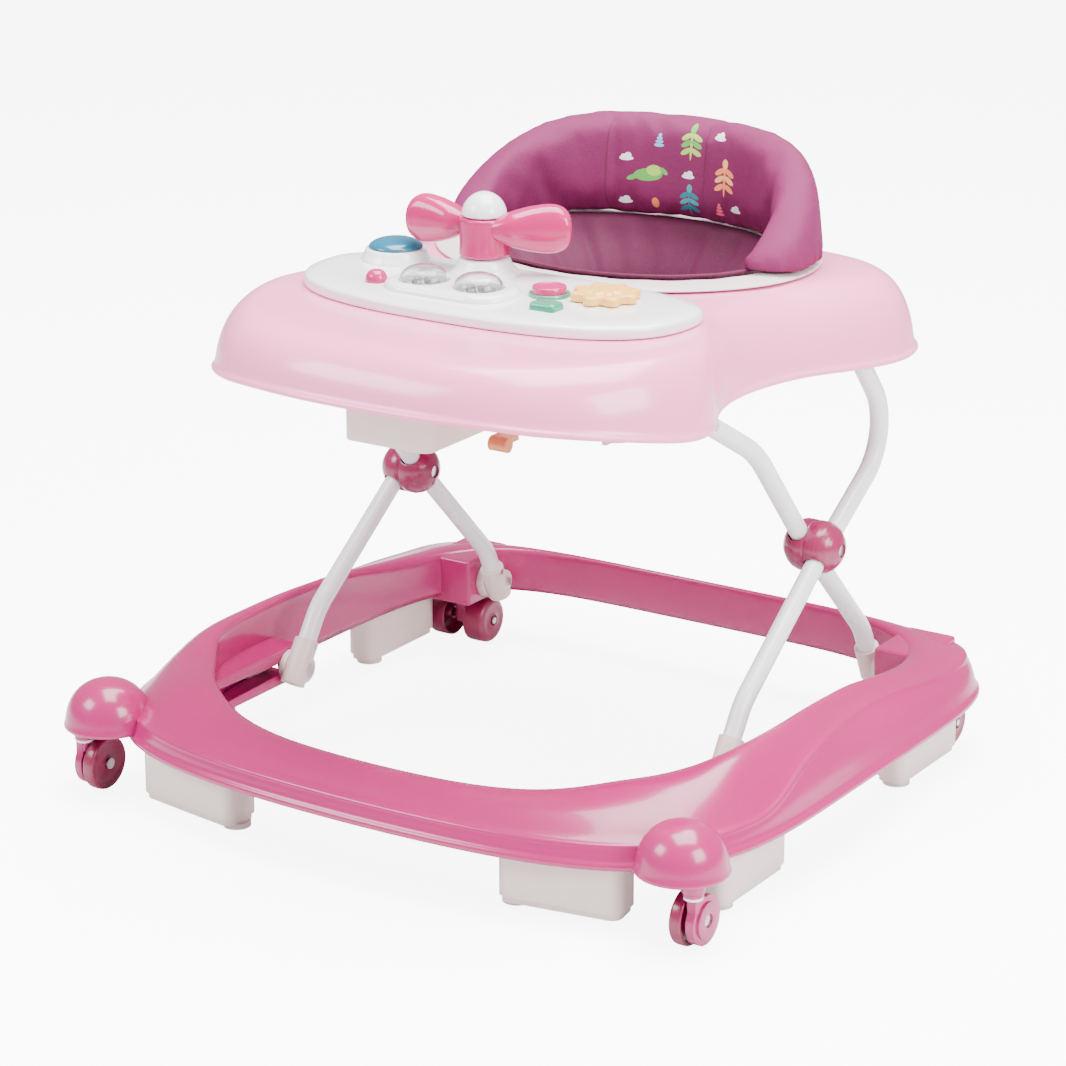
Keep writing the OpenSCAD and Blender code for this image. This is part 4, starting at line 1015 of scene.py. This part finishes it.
for h, (c, axis) in enumerate(holes):
    u = axis.orthogonal().normalized()
    w = axis.cross(u)
    tree = BVHTree.FromObject(sling, bpy.context.evaluated_depsgraph_get())
    pts = []
    for k in range(64):
        t = 2 * math.pi * k / 64
        start = c + (u * math.cos(t) + w * math.sin(t)) * 0.0372 - axis * 0.03
        hit = tree.ray_cast(start, axis, 0.3)
        if hit[0] is None:
            near = tree.find_nearest(c + axis * 0.06 + (u * math.cos(t) + w * math.sin(t)) * 0.038)
            pts.append(near[0])
        else:
            pts.append(hit[0])
    tube_along("leg_hem_%d" % h, pts, 0.0022, M["trim"])

# ---------- CAD nodes kept as they are ----------

KEPT = [
    ("cream", 1.6, ("front_stopper_right", "front_stopper_left", "side_front_stopper_right",
                    "side_front_stopper_left",
                    "side_rear_stopper_right", "side_rear_stopper_left")),
    ("rubber", 0.8, ("stopper_feet",)),
    ("base", 0.6, ("caster_fork_right", "caster_fork_left")),
    ("white", 0.5, ("caster_ring_right", "caster_ring_left")),
    ("steel", 0.0, ("caster_screw_right", "caster_screw_left", "rear_axles", "ball_bolts", "rear_pins",
                    "front_pins", "rear_socket_screws", "front_socket_screws", "tray_hinge_pins",
                    "slide_pins")),
    ("tube", 0.0, ("inner_leg_right", "inner_leg_left", "outer_leg_right", "outer_leg_left")),
    ("deep", 0.5, ("ball_inner_right", "ball_inner_left", "ball_outer_right", "ball_outer_left")),
    ("cream", 0.7, ("rear_socket_right", "rear_socket_left", "front_socket_right", "front_socket_left",
                    "tray_hinges", "tray_rail_right", "tray_rail_left")),
    ("cream", 1.5, ("music_box",)),
    ("cream", 0.5, ("battery_door",)),
    ("orange", 1.0, ("height_lever",)),
    ("dark", 0.0, ("rattle_balls",)),
]
for mat_name, bevel, nodes in KEPT:
    for node in nodes:
        finish_node(node, M[mat_name], bevel)

# ---------- camera, light, floor ----------

camera = bpy.data.objects.new("camera", bpy.data.cameras.new("camera"))
bpy.context.scene.collection.objects.link(camera)
camera.data.lens = 117.6
camera.data.sensor_width = 36.0
camera.location = (1.4921, -2.3067, 1.1113)
camera.rotation_euler = (math.radians(90 - 18.15), 0, math.radians(33.04))
bpy.context.scene.camera = camera

floor_mat, floor_tree, floor_shader, floor_coords = new_material("floor")
floor_tone = ramp(floor_tree, noise(floor_tree, floor_coords, 1.5).outputs["Fac"],
                  [(0.3, (0.93, 0.93, 0.93)), (0.7, (0.95, 0.95, 0.95))])
floor_tree.links.new(floor_tone.outputs["Color"], floor_shader.inputs["Base Color"])
floor_shader.inputs["Roughness"].default_value = 0.35
floor_shader.inputs["Emission Color"].default_value = (1, 1, 1, 1)
seen = floor_tree.nodes.new("ShaderNodeLightPath")
glow = floor_tree.nodes.new("ShaderNodeMath")
glow.operation = "MULTIPLY"
glow.inputs[1].default_value = 7.0
floor_tree.links.new(seen.outputs["Is Camera Ray"], glow.inputs[0])
floor_tree.links.new(glow.outputs["Value"], floor_shader.inputs["Emission Strength"])
floor = mesh_piece("floor", [(-8, -8, 0), (8, -8, 0), (8, 8, 0), (-8, 8, 0)], [(0, 1, 2, 3)], floor_mat,
                   None, ride=False)
floor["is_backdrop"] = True

world = bpy.data.worlds.new("studio")
bpy.context.scene.world = world
world.use_nodes = True
world.node_tree.nodes["Background"].inputs["Color"].default_value = (1, 1, 1, 1)
world.node_tree.nodes["Background"].inputs["Strength"].default_value = 0.55


def area_light(name, place, aim, size, power):
    light = bpy.data.lights.new(name, "AREA")
    light.shape = "RECTANGLE"
    light.size, light.size_y = size
    light.energy = power
    obj = bpy.data.objects.new(name, light)
    bpy.context.scene.collection.objects.link(obj)
    obj.location = place
    obj.rotation_euler = (Vector(aim) - Vector(place)).to_track_quat("-Z", "Y").to_euler()


area_light("top", (0.2, 0.2, 2.7), (0, 0, 0.25), (2.2, 2.0), 265)
area_light("key", (-1.5, -1.9, 1.9), (0, 0, 0.25), (1.3, 1.0), 66)
area_light("fill", (2.3, -0.5, 1.5), (0, 0, 0.25), (1.2, 1.2), 86)

low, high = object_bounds()
